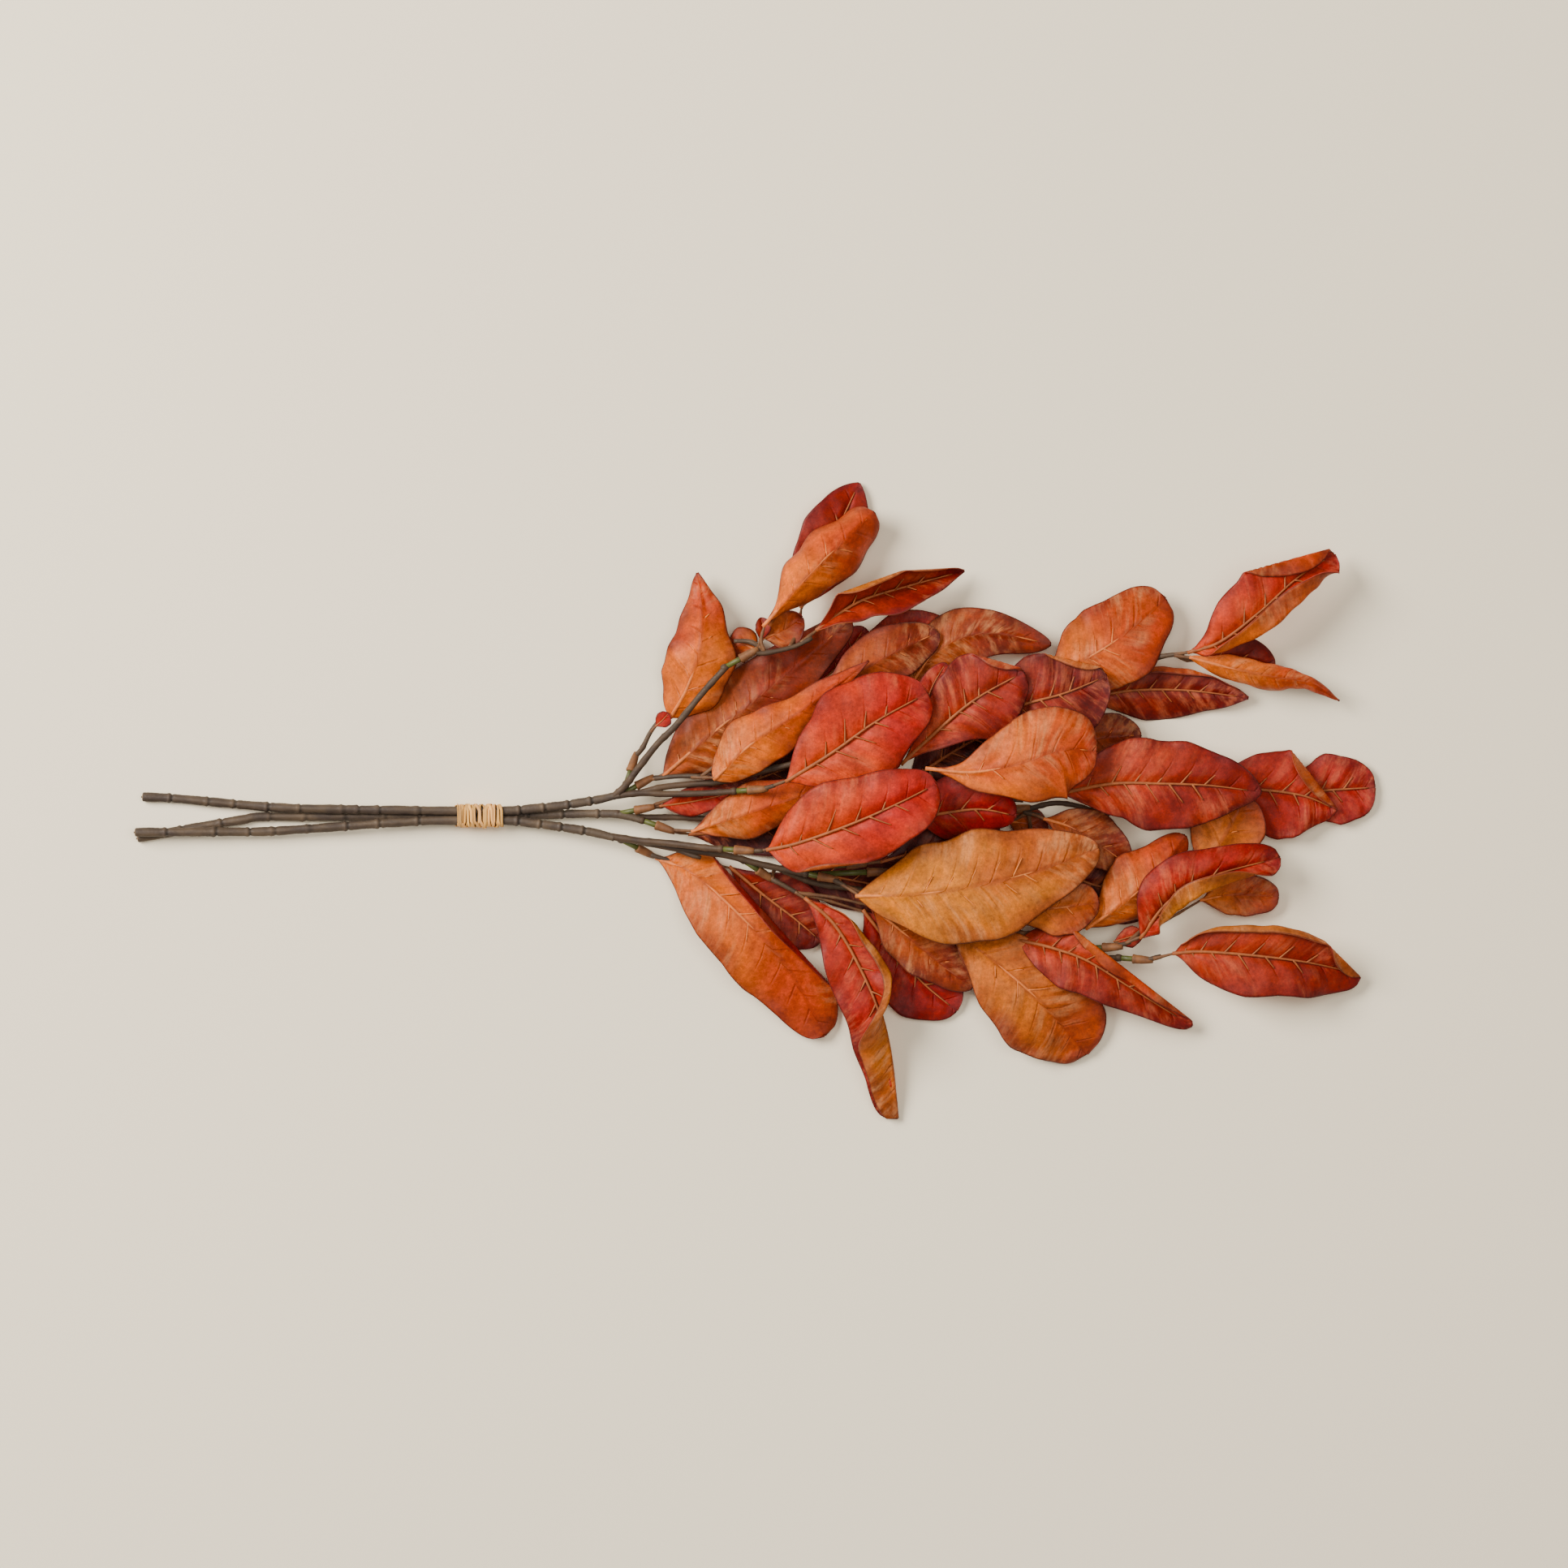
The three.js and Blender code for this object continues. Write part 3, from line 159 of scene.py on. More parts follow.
# Each tone is a leaf's colour at its foot, towards its tip and along its margin.
TONES = {
    "flame": (rich(217, 100, 34), rich(204, 52, 24), srgb(112, 26, 24)),
    "red": (rich(194, 68, 26), rich(183, 44, 22), srgb(96, 22, 24)),
    "crimson": (rich(178, 38, 22), rich(178, 32, 22), srgb(92, 18, 20)),
    "rose": (rich(194, 84, 60), rich(170, 56, 50), srgb(92, 26, 32)),
    "wine": (rich(166, 62, 46), rich(142, 40, 38), srgb(64, 20, 28)),
    # dark is a deep burgundy darkened further as painted shade, for leaves deep under the others.
    "dark": (rich(112, 24, 14), rich(124, 26, 16), srgb(46, 12, 16)),
    "orange": (rich(228, 140, 54), rich(206, 98, 42), srgb(108, 42, 28)),
    "gold": (rich(222, 156, 84), rich(204, 126, 62), srgb(132, 66, 36)),
    "peach": (rich(216, 142, 90), rich(192, 102, 72), srgb(108, 46, 38)),
    "brown": (rich(186, 108, 60), rich(160, 72, 44), srgb(82, 34, 26)),
    "rosy": (rich(194, 114, 86), rich(160, 78, 68), srgb(84, 36, 38)),
}
UNDER_TONES = ("orange", "gold", "peach", "brown", "rosy")  # the rest are for upper sides
BARK = srgb(70, 60, 53)
TWIG_BROWN = srgb(66, 52, 42)
SLEEVE_TAN = srgb(114, 76, 48)
STALK_BROWN = 0.6 * SLEEVE_TAN + 0.4 * TWIG_BROWN
CUT_TAN = srgb(150, 128, 104)
CORE_GREY = srgb(70, 64, 60)
PEG_GREEN = srgb(74, 82, 32)
RIB_BROWN = srgb(146, 80, 42)
RIB_PALE = srgb(204, 120, 66)
RAFFIA = srgb(216, 170, 104)
MARGIN_DARK = srgb(74, 26, 26)
FLOOR_CREAM, FLOOR_PALE = srgb(243, 231, 207), srgb(248, 237, 214)
DARKER = np.array([0.5, 0.42, 0.4])  # what a colour is multiplied by to darken it
LIGHTER = np.array([1.5, 1.3, 0.9])


def curve_at(points, shares):
    """Places and unit tangents on a smooth curve through the points."""
    p = np.array(points, float)
    ends = np.vstack([2 * p[0] - p[1], p, 2 * p[-1] - p[-2]])
    place = np.clip(np.asarray(shares, float), 0, 1) * (len(p) - 1)
    first = np.minimum(place.astype(int), len(p) - 2)
    w = (place - first)[:, None]
    a, b, c, d = (ends[first + i] for i in range(4))
    bend = 2 * a - 5 * b + 4 * c - d
    twist = 3 * b - a - 3 * c + d
    centre = 0.5 * (2 * b + (c - a) * w + bend * w**2 + twist * w**3)
    along = 0.5 * ((c - a) + 2 * bend * w + 3 * twist * w**2)
    return centre, unit(along)


def length_of(points):
    return np.linalg.norm(np.diff(np.array(points, float), axis=0), axis=1).sum()


def unit(vectors):
    return vectors / np.linalg.norm(vectors, axis=-1, keepdims=True)


def smooth(low, high, x):
    s = np.clip((x - low) / (high - low), 0, 1)
    return s * s * (3 - 2 * s)


def window(x, starts, stops):
    """0 before it starts and after it stops, and 1 between."""
    return smooth(*starts, x) * (1 - smooth(*stops, x))


def bell(x, width):
    """1 where x is 0, falling to almost nothing at twice the width."""
    return np.exp(-((x / width) ** 2))


def ripple(rng, x, y, size):
    """A soft random field over x and y in millimetres, from about -1 to 1."""
    total = np.zeros(np.broadcast(x, y).shape)
    for _ in range(RIPPLE_WAVES):
        angle = rng.uniform(0, math.tau)
        pitch = size * rng.uniform(0.6, 1.6)
        wave = (x * math.cos(angle) + y * math.sin(angle)) * math.tau / pitch
        total += np.sin(wave + rng.uniform(0, math.tau))
    return total / RIPPLE_HEIGHT


def added(name, data):
    """A new object in the scene."""
    thing = bpy.data.objects.new(name, data)
    bpy.context.scene.collection.objects.link(thing)
    return thing


class Piece:
    """A mesh in the making. Each point has a tone, and on a blade a place.

    The place is across the blade from 0 to 1, the vein phase, and the distance to the margin in centimetres.
    """

    def __init__(self, materials):
        self.materials = materials
        self.points, self.tones, self.places = [], [], []
        self.faces, self.kinds, self.total = [], [], 0

    def add(self, points, faces, material, tones, places=None):
        count = len(points)
        self.points.append(np.asarray(points, float))
        self.tones.append(np.broadcast_to(np.asarray(tones, float), (count, 3)))
        self.places.append(np.zeros((count, 3)) if places is None else places)
        self.faces += [tuple(int(i) + self.total for i in face) for face in faces]
        names = [material] * len(faces) if isinstance(material, str) else material
        self.kinds += [self.materials.index(name) for name in names]
        self.total += count

    def build(self, name, nodes):
        mesh = bpy.data.meshes.new(name)
        mesh.from_pydata((np.vstack(self.points) * MM).tolist(), [], self.faces)
        for material in self.materials:
            mesh.materials.append(MATERIALS[material])
        mesh.polygons.foreach_set("material_index", self.kinds)
        mesh.polygons.foreach_set("use_smooth", [True] * len(self.faces))
        for kind, rows in (("tone", self.tones), ("place", self.places)):
            layer = mesh.attributes.new(kind, "FLOAT_COLOR", "POINT")
            full = np.ones((self.total, 4))
            full[:, :3] = np.vstack(rows)
            layer.data.foreach_set("color", full.ravel())
        mesh.update()
        piece = added(name, mesh)
        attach(piece, "root")
        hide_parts(*nodes)


def ring_faces(rings, sides):
    """The faces of a closed bar made of rings of points."""
    faces = []
    for s in range(rings - 1):
        for i in range(sides):
            a, b = s * sides + i, s * sides + (i + 1) % sides
            faces.append((a, b, b + sides, a + sides))
    faces.append(tuple(range(sides - 1, -1, -1)))
    faces.append(tuple(range((rings - 1) * sides, rings * sides)))
    return faces


def tube(piece, centres, radii, sides, material, tones):
    """A closed round bar through the centres. Radii are one for each centre or for each point."""
    centres = np.asarray(centres, float)
    radii = np.asarray(radii, float)
    along = unit(np.gradient(centres, axis=0))
    side = np.cross(UP, along)
    side[np.linalg.norm(side, axis=1) < 1e-6] = (1, 0, 0)
    side = unit(side)
    over = np.cross(along, side)
    angles = (np.arange(sides) + 0.5) / sides * math.tau
    rim = radii if radii.ndim == 2 else radii[:, None] * np.ones(sides)
    points = (
        centres[:, None]
        + side[:, None] * (np.cos(angles) * rim)[..., None]
        + over[:, None] * (np.sin(angles) * rim)[..., None]
    )
    tones = np.asarray(tones, float)
    if tones.ndim == 2:
        tones = np.repeat(tones, sides, axis=0)
    piece.add(points.reshape(-1, 3), ring_faces(len(centres), sides), material, tones)


def bar_between(piece, start, end, radii, sides, material, tones):
    """A straight bar with its radii spread evenly from start to end."""
    shares = np.linspace(0, 1, len(radii))[:, None]
    centres = np.array(start) * (1 - shares) + np.array(end) * shares
    tube(piece, centres, radii, sides, material, tones)


def twig(piece, rng, points, start, end, material="bark", tone=TWIG_BROWN, sides=TWIG_SIDES):
    """A branch that tapers from one radius to the other through its points, with small nodes along it."""
    length = length_of(points)
    count = max(6, int(length / 2))
    t = np.linspace(0, 1, count + 1)
    centres, _ = curve_at(points, t)
    knots = np.zeros(count + 1)
    for knot in np.arange(rng.uniform(6, 14), length, rng.uniform(13, 20)):
        knots += KNOT_RISE * bell(t * length - knot, KNOT_WIDTH)
    tube(piece, centres, start + (end - start) * t + knots, sides, material, tone)


def leaf(tone, width, spine, stalk, **shape):
    """A leaf's description, as in the CAD part. The tone tells its colours and which side is turned up.

    fold, curl, lip and close are degrees for both halves, or for the left and the right one. fold tilts a
    half and curl bends it more towards its margin. lip turns the margin over from lip_from on, and close
    folds the half over the other one. A crease is two points in plan and degrees.
    """
    base = dict(fold=0, curl=0, lip=0, close=0, lip_from=0.5, creases=[], wave=1, widest=0.56, blunt=0.55)
    named = dict(tone=tone, upper=tone not in UNDER_TONES, width=width, spine=spine, stalk=stalk)
    return {**base, **named, **shape}


def half_width(shape, t):
    """Half the width of a blade at shares t along it."""
    power = math.log(0.5) / math.log(shape["widest"])
    fullness = 1 + (shape["blunt"] - 1) * t
    wave = np.maximum(np.sin(math.pi * np.minimum(t, 1) ** power), 0)
    return np.maximum(BLADE_END_HALF_WIDTH, shape["width"] / 2 * wave**fullness)


def zigzag(x):
    """Straight runs between -1 and 1 with sharp turns, one beat for each whole number."""
    return 4 * np.abs(x - np.floor(x + 0.5)) - 1


def creased(sheet, crease):
    """Turns what lies left of the crease in plan over onto the rest."""
    x0, y0, x1, y1, degrees = crease
    beyond = np.cross(UP, unit(np.array([x1 - x0, y1 - y0, 0.0])))
    past = np.maximum((sheet - [x0, y0, 0]) @ beyond, 0)
    limit = math.radians(degrees)
    bend = np.minimum(past / CREASE_RADIUS, limit)
    rest = past - CREASE_RADIUS * bend
    shift = CREASE_RADIUS * np.sin(bend) + rest * math.cos(limit) - past
    lift = CREASE_RADIUS * (1 - np.cos(bend)) + rest * math.sin(limit)
    return sheet + shift[..., None] * beyond + lift[..., None] * UP


def blade_surface(shape, t, v, relief):
    """The middle surface of a blade at shares t along and signed shares v across, left side first."""
    centre, along = curve_at(shape["spine"], t)
    normal = unit(UP - along * along[:, 2:])
    left = np.cross(normal, along)
    right = (v < 0).astype(int)
    side = np.where(v < 0, -1, 1)
    keys = ("fold", "curl", "lip", "close")
    fold, curl, lip, close = (np.broadcast_to(shape[key], 2)[right][:, None] for key in keys)
    close = close * smooth(CLOSE_FROM, CLOSE_BY, t)[:, None, None]
    window = np.sqrt(np.sin(math.pi * np.clip((t - LIP_START) / LIP_RUN, 0, 1)))[:, None, None]
    reach = np.abs(v)
    x = (np.arange(MARGIN_STEPS) + 0.5) / MARGIN_STEPS * reach[:, None]
    turned = lip * smooth(shape["lip_from"], shape["lip_from"] + LIP_EASE, x)
    # A half that closes over the other takes its turned margin back as it does so.
    angle = np.radians(fold + curl * x + turned * window * (1 - close / 180) + close)
    own = shape["width"] + shape["spine"][0][0] + 2.1 * right
    runs = sum(far * zigzag(count * t[:, None] + shift * own) for far, count, shift in MARGIN_RUNS)
    step = half_width(shape, t)[:, None] * reach * (1 + runs) / MARGIN_STEPS
    out = np.cos(angle).sum(2) * step
    phase = math.pi * MARGIN_HALF_WAVES * t[:, None] + shape["width"] + 2 * right
    rise = np.sin(angle).sum(2) * step + shape["wave"] * reach**2 * np.sin(phase)
    lean = angle[..., -1] * side
    sheet = centre[:, None] + left[:, None] * (side * out)[..., None] + normal[:, None] * rise[..., None]
    facing = normal[:, None] * np.cos(lean)[..., None] - left[:, None] * np.sin(lean)[..., None]
    sheet = sheet + facing * relief[..., None]
    for crease in shape["creases"]:
        sheet = creased(sheet, crease)
    return sheet


def normals_of(sheet):
    return unit(np.cross(np.gradient(sheet, axis=1), np.gradient(sheet, axis=0)))


def blade_grid(shape):
    """Shares along and across a blade, closer together at its ends and its midrib."""
    cells = SMALL_GRID if shape["width"] < SMALL_BLADE else GRID
    even = np.linspace(0, 1, cells[0] + 1)
    t = 0.55 * even + 0.45 * (0.5 - 0.5 * np.cos(math.pi * even))
    v = np.linspace(1, -1, cells[1] + 1)
    v = np.sign(v) * (0.75 * np.abs(v) + 0.25 * np.abs(v) ** 2)
    return t, v


def vein_phase(shape, length, t, v):
    """Whole numbers lie on side veins, which alternate between the two halves."""
    out = np.abs(v) * half_width(shape, t)[:, None]
    forward = VEIN_SLOPE * out - VEIN_BEND * out**2
    return (t[:, None] * length - forward) / VEIN_SPACING + np.where(v < 0, 0.5, 0)[None]


def leaf_tones(rng, tone, t, v, shape, length):
    """Colours that blush towards the tip and darken towards the margin, in soft patches."""
    foot, tip, margin = TONES[tone]
    x, y = t[:, None] * length, v[None] * shape["width"] / 2
    cloud = ripple(rng, x, y, BLUSH_PATCH)[..., None]
    blush = smooth(0.25, 0.95, t[:, None, None] + 0.22 * cloud)
    colour = foot + (tip - foot) * blush
    far = np.maximum(np.abs(v)[None], smooth(0.8, 1, t)[:, None])
    edge = smooth(0.55, 1.02, far[..., None] + 0.16 * ripple(rng, x, y, EDGE_PATCH)[..., None])
    colour = colour + (margin - colour) * EDGE_SHARE * edge
    shade = 1 + 0.16 * ripple(rng, x, y, SHADE_PATCH)[..., None]
    return np.clip(colour * shade, 0, 1)


def leaf_blade(piece, rng, shape):
    """Adds the two sides and the rim of a blade, and returns its length."""
    t, v = blade_grid(shape)
    length = length_of(shape["spine"])
    phase = vein_phase(shape, length, t, v)
    ends = window(t, RELIEF_STARTS, RELIEF_STOPS)[:, None]
    size = min(1, shape["width"] / FULL_BLADE)
    swell = 0.5 - 0.5 * np.cos(math.tau * phase)
    quilt = QUILT_RISE * size * swell * window(np.abs(v), QUILT_STARTS, QUILT_STOPS) * ends
    x, y = t[:, None] * length, v[None] * shape["width"] / 2
    dents = DENT_RISE * size * ripple(rng, x, y, DENT_SIZE) * np.minimum(1, 3 * ends)
    beat = np.sin(x * math.tau / rng.uniform(*FLUTTER_LENGTHS) + rng.uniform(0, 6))
    flutter = FLUTTER_RISE * size * np.abs(v) ** 3 * beat * ends
    upper = shape["upper"]
    sink = MIDRIB_SINK * size * bell(v, MIDRIB_SINK_REACH) * ends
    middle = blade_surface(shape, t, v, (1 if upper else -1) * (quilt - sink) + dents + flutter)
    normals = normals_of(middle)
    plain, rare = ("orange", "gold") if upper else ("red", "wine")
    sides = (shape["tone"], plain if rng.random() < 0.6 else rare)
    kinds = ("upper side", "under side") if upper else ("under side", "upper side")
    rows, columns = len(t), len(v)
    index = np.arange(rows * columns).reshape(rows, columns)
    a, b, c, d = index[:-1, :-1], index[:-1, 1:], index[1:, 1:], index[1:, :-1]
    top = np.stack([a, b, c, d], -1).reshape(-1, 4)
    places = np.zeros((rows, columns, 3))
    places[..., 0] = 0.5 + 0.5 * v
    places[..., 1] = phase + round(shape["spine"][0][0])
    half = half_width(shape, t)[:, None]
    places[..., 2] = np.minimum((1 - np.abs(v)) * half, np.minimum(t, 1 - t)[:, None] * length) / 10
    total = rows * columns
    points = np.vstack([(middle + normals * d * BLADE_THICKNESS / 2).reshape(-1, 3) for d in (1, -1)])
    rim = np.concatenate([index[0, :-1], index[:-1, -1], index[-1, :0:-1], index[:0:-1, 0]])
    ahead = np.roll(rim, -1)
    edge = np.stack([ahead, rim, rim + total, ahead + total], -1)
    faces = np.vstack([top, top[:, ::-1] + total, edge])
    names = [kinds[0]] * len(top) + [kinds[1]] * len(top) + ["rib"] * len(edge)
    tones = np.vstack([leaf_tones(rng, side, t, v, shape, length).reshape(-1, 3) for side in sides])
    piece.add(points, faces, names, tones, np.vstack([places.reshape(-1, 3)] * 2))
    return length


def leaf_ribs(piece, rng, shape, length):
    """The midrib and its short side ribs, half sunk in the side of the blade that is turned up."""
    colour, reach = RIB_BROWN, UPPER_RIB_REACH
    if not shape["upper"]:
        colour, reach = 0.6 * RIB_PALE + 0.4 * TONES[shape["tone"]][0], UNDER_RIB_REACH
    size = min(1, 0.35 + shape["width"] / 60)
    t = np.linspace(0.0, MIDRIB_END, MIDRIB_RINGS)
    middle = blade_surface(shape, t, np.array([0.02, 0.0, -0.02]), np.zeros((MIDRIB_RINGS, 3)))
    centres = middle[:, 1] + normals_of(middle)[:, 1] * RIB_LIFT
    tube(piece, centres, size * (MIDRIB_RADIUS - MIDRIB_TAPER * t), MIDRIB_SIDES, "rib", colour)
    if shape["width"] < SMALL_BLADE:
        return
    shares = np.linspace(0, 1, SIDE_RIB_RINGS)
    radii = size * (SIDE_RIB_RADIUS - SIDE_RIB_TAPER * shares)
    for side in (1, -1):
        first = 1 if side > 0 else 1.5
        for foot in np.arange(first, SIDE_RIB_LAST * length / VEIN_SPACING) * VEIN_SPACING / length:
            far = reach * rng.uniform(0.7, 1.1)
            forward = VEIN_SLOPE * far * float(half_width(shape, np.array([foot]))[0]) / length
            if foot + forward > SIDE_RIB_LIMIT:
                continue
            points = []
            for s in shares:
                u = foot + s * forward
                across = side * s * far + np.array([0.01, 0.0, -0.01])
                near = blade_surface(shape, np.array([u - 0.004, u, u + 0.004]), across, np.zeros((3, 3)))
                points.append(near[1, 1] + normals_of(near)[1, 1] * RIB_LIFT)
            tube(piece, points, radii, SIDE_RIB_SIDES, "rib", colour)


def link(tree, value, socket):
    """Sets a socket to a constant, or joins an output to it."""
    if isinstance(value, bpy.types.NodeSocket):
        tree.links.new(value, socket)
    elif isinstance(value, np.ndarray):
        socket.default_value = (*value, 1.0)
    else:
        socket.default_value = value


def new_node(tree, kind, **inputs):
    """A shader node with the named inputs set or joined."""
    node = tree.nodes.new("ShaderNode" + kind)
    for name, value in inputs.items():
        link(tree, value, node.inputs[name])
    return node


def math_node(tree, kind, *values):
    node = new_node(tree, "Math")
    node.operation = kind
    for i, value in enumerate(values):
        link(tree, value, node.inputs[i])
    return node.outputs[0]


def from_half(tree, value):
    """How far a value is from one half."""
    return math_node(tree, "ABSOLUTE", math_node(tree, "SUBTRACT", value, 0.5))


def ramp(tree, value, low, high, start=0.0, end=1.0):
    """A value eased from start to end as the input goes from low to high."""
    node = new_node(tree, "MapRange")
    node.interpolation_type = "SMOOTHSTEP"
    for i, each in enumerate((value, low, high, start, end)):
        link(tree, each, node.inputs[i])
    return node.outputs[0]


def noise(tree, vector, scale, detail, roughness, stretch=None):
    if stretch is not None:
        vector = new_node(tree, "Mapping", Vector=vector, Scale=stretch).outputs[0]
    inputs = dict(Vector=vector, Scale=scale, Detail=detail, Roughness=roughness)
    return new_node(tree, "TexNoise", **inputs).outputs[0]


def mixed(tree, share, first, second, kind="MIX"):
    node = new_node(tree, "Mix")
    node.data_type = "RGBA"
    node.blend_type = kind
    link(tree, share, node.inputs[0])
    link(tree, first, node.inputs[6])
    link(tree, second, node.inputs[7])
    return node.outputs[2]


def attribute(tree, name):
    node = new_node(tree, "Attribute")
    node.attribute_name = name
    return node.outputs["Color"]


def new_material(name):
    material = bpy.data.materials.new(name)
    material.use_nodes = True
    tree = material.node_tree
    surface = tree.nodes["Principled BSDF"]
    return material, tree, surface, new_node(tree, "TexCoord").outputs["Object"]


def finished(tree, surface, colour, roughness, specular):
    """Joins or sets what a surface looks like."""
    link(tree, colour, surface.inputs["Base Color"])
    link(tree, roughness, surface.inputs["Roughness"])
    link(tree, specular, surface.inputs["Specular IOR Level"])


def bumped(tree, surface, layers):
    """Bump from several heights, each with its strength and depth in metres."""
    normal = None
    for height, strength, depth in layers:
        node = new_node(tree, "Bump", Strength=strength, Distance=depth, Height=height)
        if normal is not None:
            link(tree, normal, node.inputs["Normal"])
        normal = node.outputs[0]
    link(tree, normal, surface.inputs["Normal"])


def leaf_material(name, bloom_and_sheen, bloom_and_sheen_colour, vein_colour, vein_strength, speckle):
    """Leaf cloth: speckle, pale patches that are partly bloom and partly painted sheen, dark streaks, veins,
    a dark margin and grain over the tone.
    """
    material, tree, surface, where = new_material(name)
    tone = attribute(tree, "tone")
    split = new_node(tree, "SeparateColor", Color=attribute(tree, "place"))
    across, phase, margin = (split.outputs[i] for i in range(3))
    grain = noise(tree, where, 430.0, 6.0, 0.8)
    mottle = noise(tree, where, 95.0, 7.0, 0.72)
    cloud = noise(tree, where, 26.0, 3.0, 0.55)
    along_veins = new_node(tree, "CombineXYZ", X=phase, Y=across).outputs[0]
    streaks = noise(tree, along_veins, 1.0, 4.0, 0.65, (2.6, 2.0, 1.0))
    colour = mixed(tree, ramp(tree, mottle, 0.36, 0.66, end=speckle), tone, DARKER, "MULTIPLY")
    # Pale patches, partly the cloth's bloom and partly painted sheen, mixed in over the speckled tone.
    patches = math_node(tree, "MULTIPLY", ramp(tree, cloud, 0.42, 0.66), ramp(tree, streaks, 0.42, 0.68))
    colour = mixed(tree, math_node(tree, "MULTIPLY", patches, bloom_and_sheen), colour, bloom_and_sheen_colour)
    colour = mixed(tree, ramp(tree, streaks, 0.5, 0.34, end=0.26), colour, DARKER, "MULTIPLY")
    from_rib = from_half(tree, across)
    wobble = math_node(tree, "MULTIPLY", math_node(tree, "SUBTRACT", mottle, 0.5), 0.16)
    off_vein = from_half(tree, math_node(tree, "FRACT", math_node(tree, "ADD", phase, wobble)))
    vein = math_node(tree, "MULTIPLY", ramp(tree, off_vein, 0.43, 0.5), ramp(tree, from_rib, 0.34, 0.1))
    colour = mixed(tree, math_node(tree, "MULTIPLY", vein, vein_strength), colour, vein_colour)
    colour = mixed(tree, ramp(tree, from_rib, 0.045, 0.012, end=0.35), colour, vein_colour)
    colour = mixed(tree, ramp(tree, margin, 0.09, 0.015, end=0.75), colour, MARGIN_DARK)
    colour = mixed(tree, ramp(tree, grain, 0.5, 0.62, end=0.65), colour, LIGHTER, "MULTIPLY")
    colour = mixed(tree, ramp(tree, grain, 0.48, 0.36, end=0.55), colour, DARKER, "MULTIPLY")
    finished(tree, surface, colour, ramp(tree, mottle, 0.3, 0.7, 0.4, 0.62), 0.17)
    bumped(tree, surface, [(vein, 0.5, -0.0007), (mottle, 0.35, 0.0008), (grain, 0.4, 0.0003)])
    return material


def plain_material(name, scale, stretch, contrast, roughness, depth, specular=0.35):
    """A piece in its tone, with streaks and fine relief."""
    material, tree, surface, where = new_material(name)
    tone = attribute(tree, "tone")
    streaks = noise(tree, where, scale, 5.0, 0.65, stretch)
    grain = noise(tree, where, 1400.0, 2.0, 0.6)
    dark = mixed(tree, 1.0, tone, DARKER, "MULTIPLY")
    light = mixed(tree, 1.0, tone, LIGHTER, "MULTIPLY")
    colour = mixed(tree, ramp(tree, streaks, 0.3, 0.7), dark, light)
    uneven = ramp(tree, grain, 0.3, 0.7, roughness - 0.08, roughness + 0.1)
    finished(tree, surface, mixed(tree, contrast, tone, colour), uneven, specular)
    bumped(tree, surface, [(streaks, 0.6, depth), (grain, 0.3, 0.0001)])
    return material


MATERIALS = {
    # The second and third values set the pale patches: partly bloom, partly painted sheen.
    "upper side": leaf_material("upper side", 0.34, srgb(208, 112, 74), rich(110, 30, 22), 0.16, 0.6),
    "under side": leaf_material("under side", 0.36, srgb(222, 156, 104), rich(146, 62, 32), 0.2, 0.5),
    "rib": plain_material("rib", 300, (1, 1, 1), 0.5, 0.6, 0.0002),
    "bark": plain_material("bark", 160, (0.35, 1, 1), 0.75, 0.62, 0.0006),
    "sleeve": plain_material("sleeve", 220, (1, 1, 1), 0.6, 0.6, 0.0003),
    "peg": plain_material("peg", 260, (1, 1, 1), 0.5, 0.5, 0.0002, 0.45),
    "raffia": plain_material("raffia", 420, (1, 0.12, 0.12), 0.6, 0.66, 0.0003, 0.3),
}


SPRIGS = {}


def sprig(name, slot, peg, twigs, *leaves):
    """Notes a sprig. Its peg is given by where it starts and where the mouth of the sleeve is."""
    SPRIGS[name] = {"slot": slot, "peg": peg, "twigs": twigs, "leaves": leaves}


# Each main stem: its line, its rings, the finer rings between them, its branches and its pegs.
# A branch is its line and its radii at both ends.
STEMS = {}
STEMS["top"] = (
    [
        [-180, 9.9, 2.9], [-163, 9.1, 3], [-127, 5.8, 4.4], [-101, 4, 6.6], [-60, 3.2, 8], [-14, 2.55, 8.3],
        [14, 2.55, 8.3], [29, 3.9, 9], [46, 5.8, 10], [63, 8.6, 11.5], [74, 11.2, 13],
    ],
    [-166, -146, -114, -97, -74, -55, -34, 20, 46],
    [-132, -66, 33, 58],
    [
        [
            [
                [71, 10.4, 12.6], [77, 16, 14.5], [83, 24, 17], [94, 38, 20], [104, 48, 22], [118, 65, 25],
                [131, 79.3, 27],
            ],
            2, 1.7,
        ],
        [[[70, 10.2, 12.3], [85, 12, 14], [100, 11.5, 16], [120, 12, 18.6], [136, 13, 21.2]], 1.9, 1.6],
        [
            [
                [84, 12, 13.8], [100, 15.6, 15], [127, 18, 16.6], [140, 21, 18], [155, 25, 20],
                [170, 28.5, 22.4],
            ],
            1.8, 1.6,
        ],
        [
            [
                [138, 20.4, 17.6], [180, 31, 12], [240, 48, 6], [300, 68, 5], [325, 76.4, 8],
                [344, 80.8, 12.4],
            ],
            1.5, 1.6,
        ],
    ],
    ["upper_left", "top", "left_brown", "centre_red", "upper_middle", "right_upper"],
)
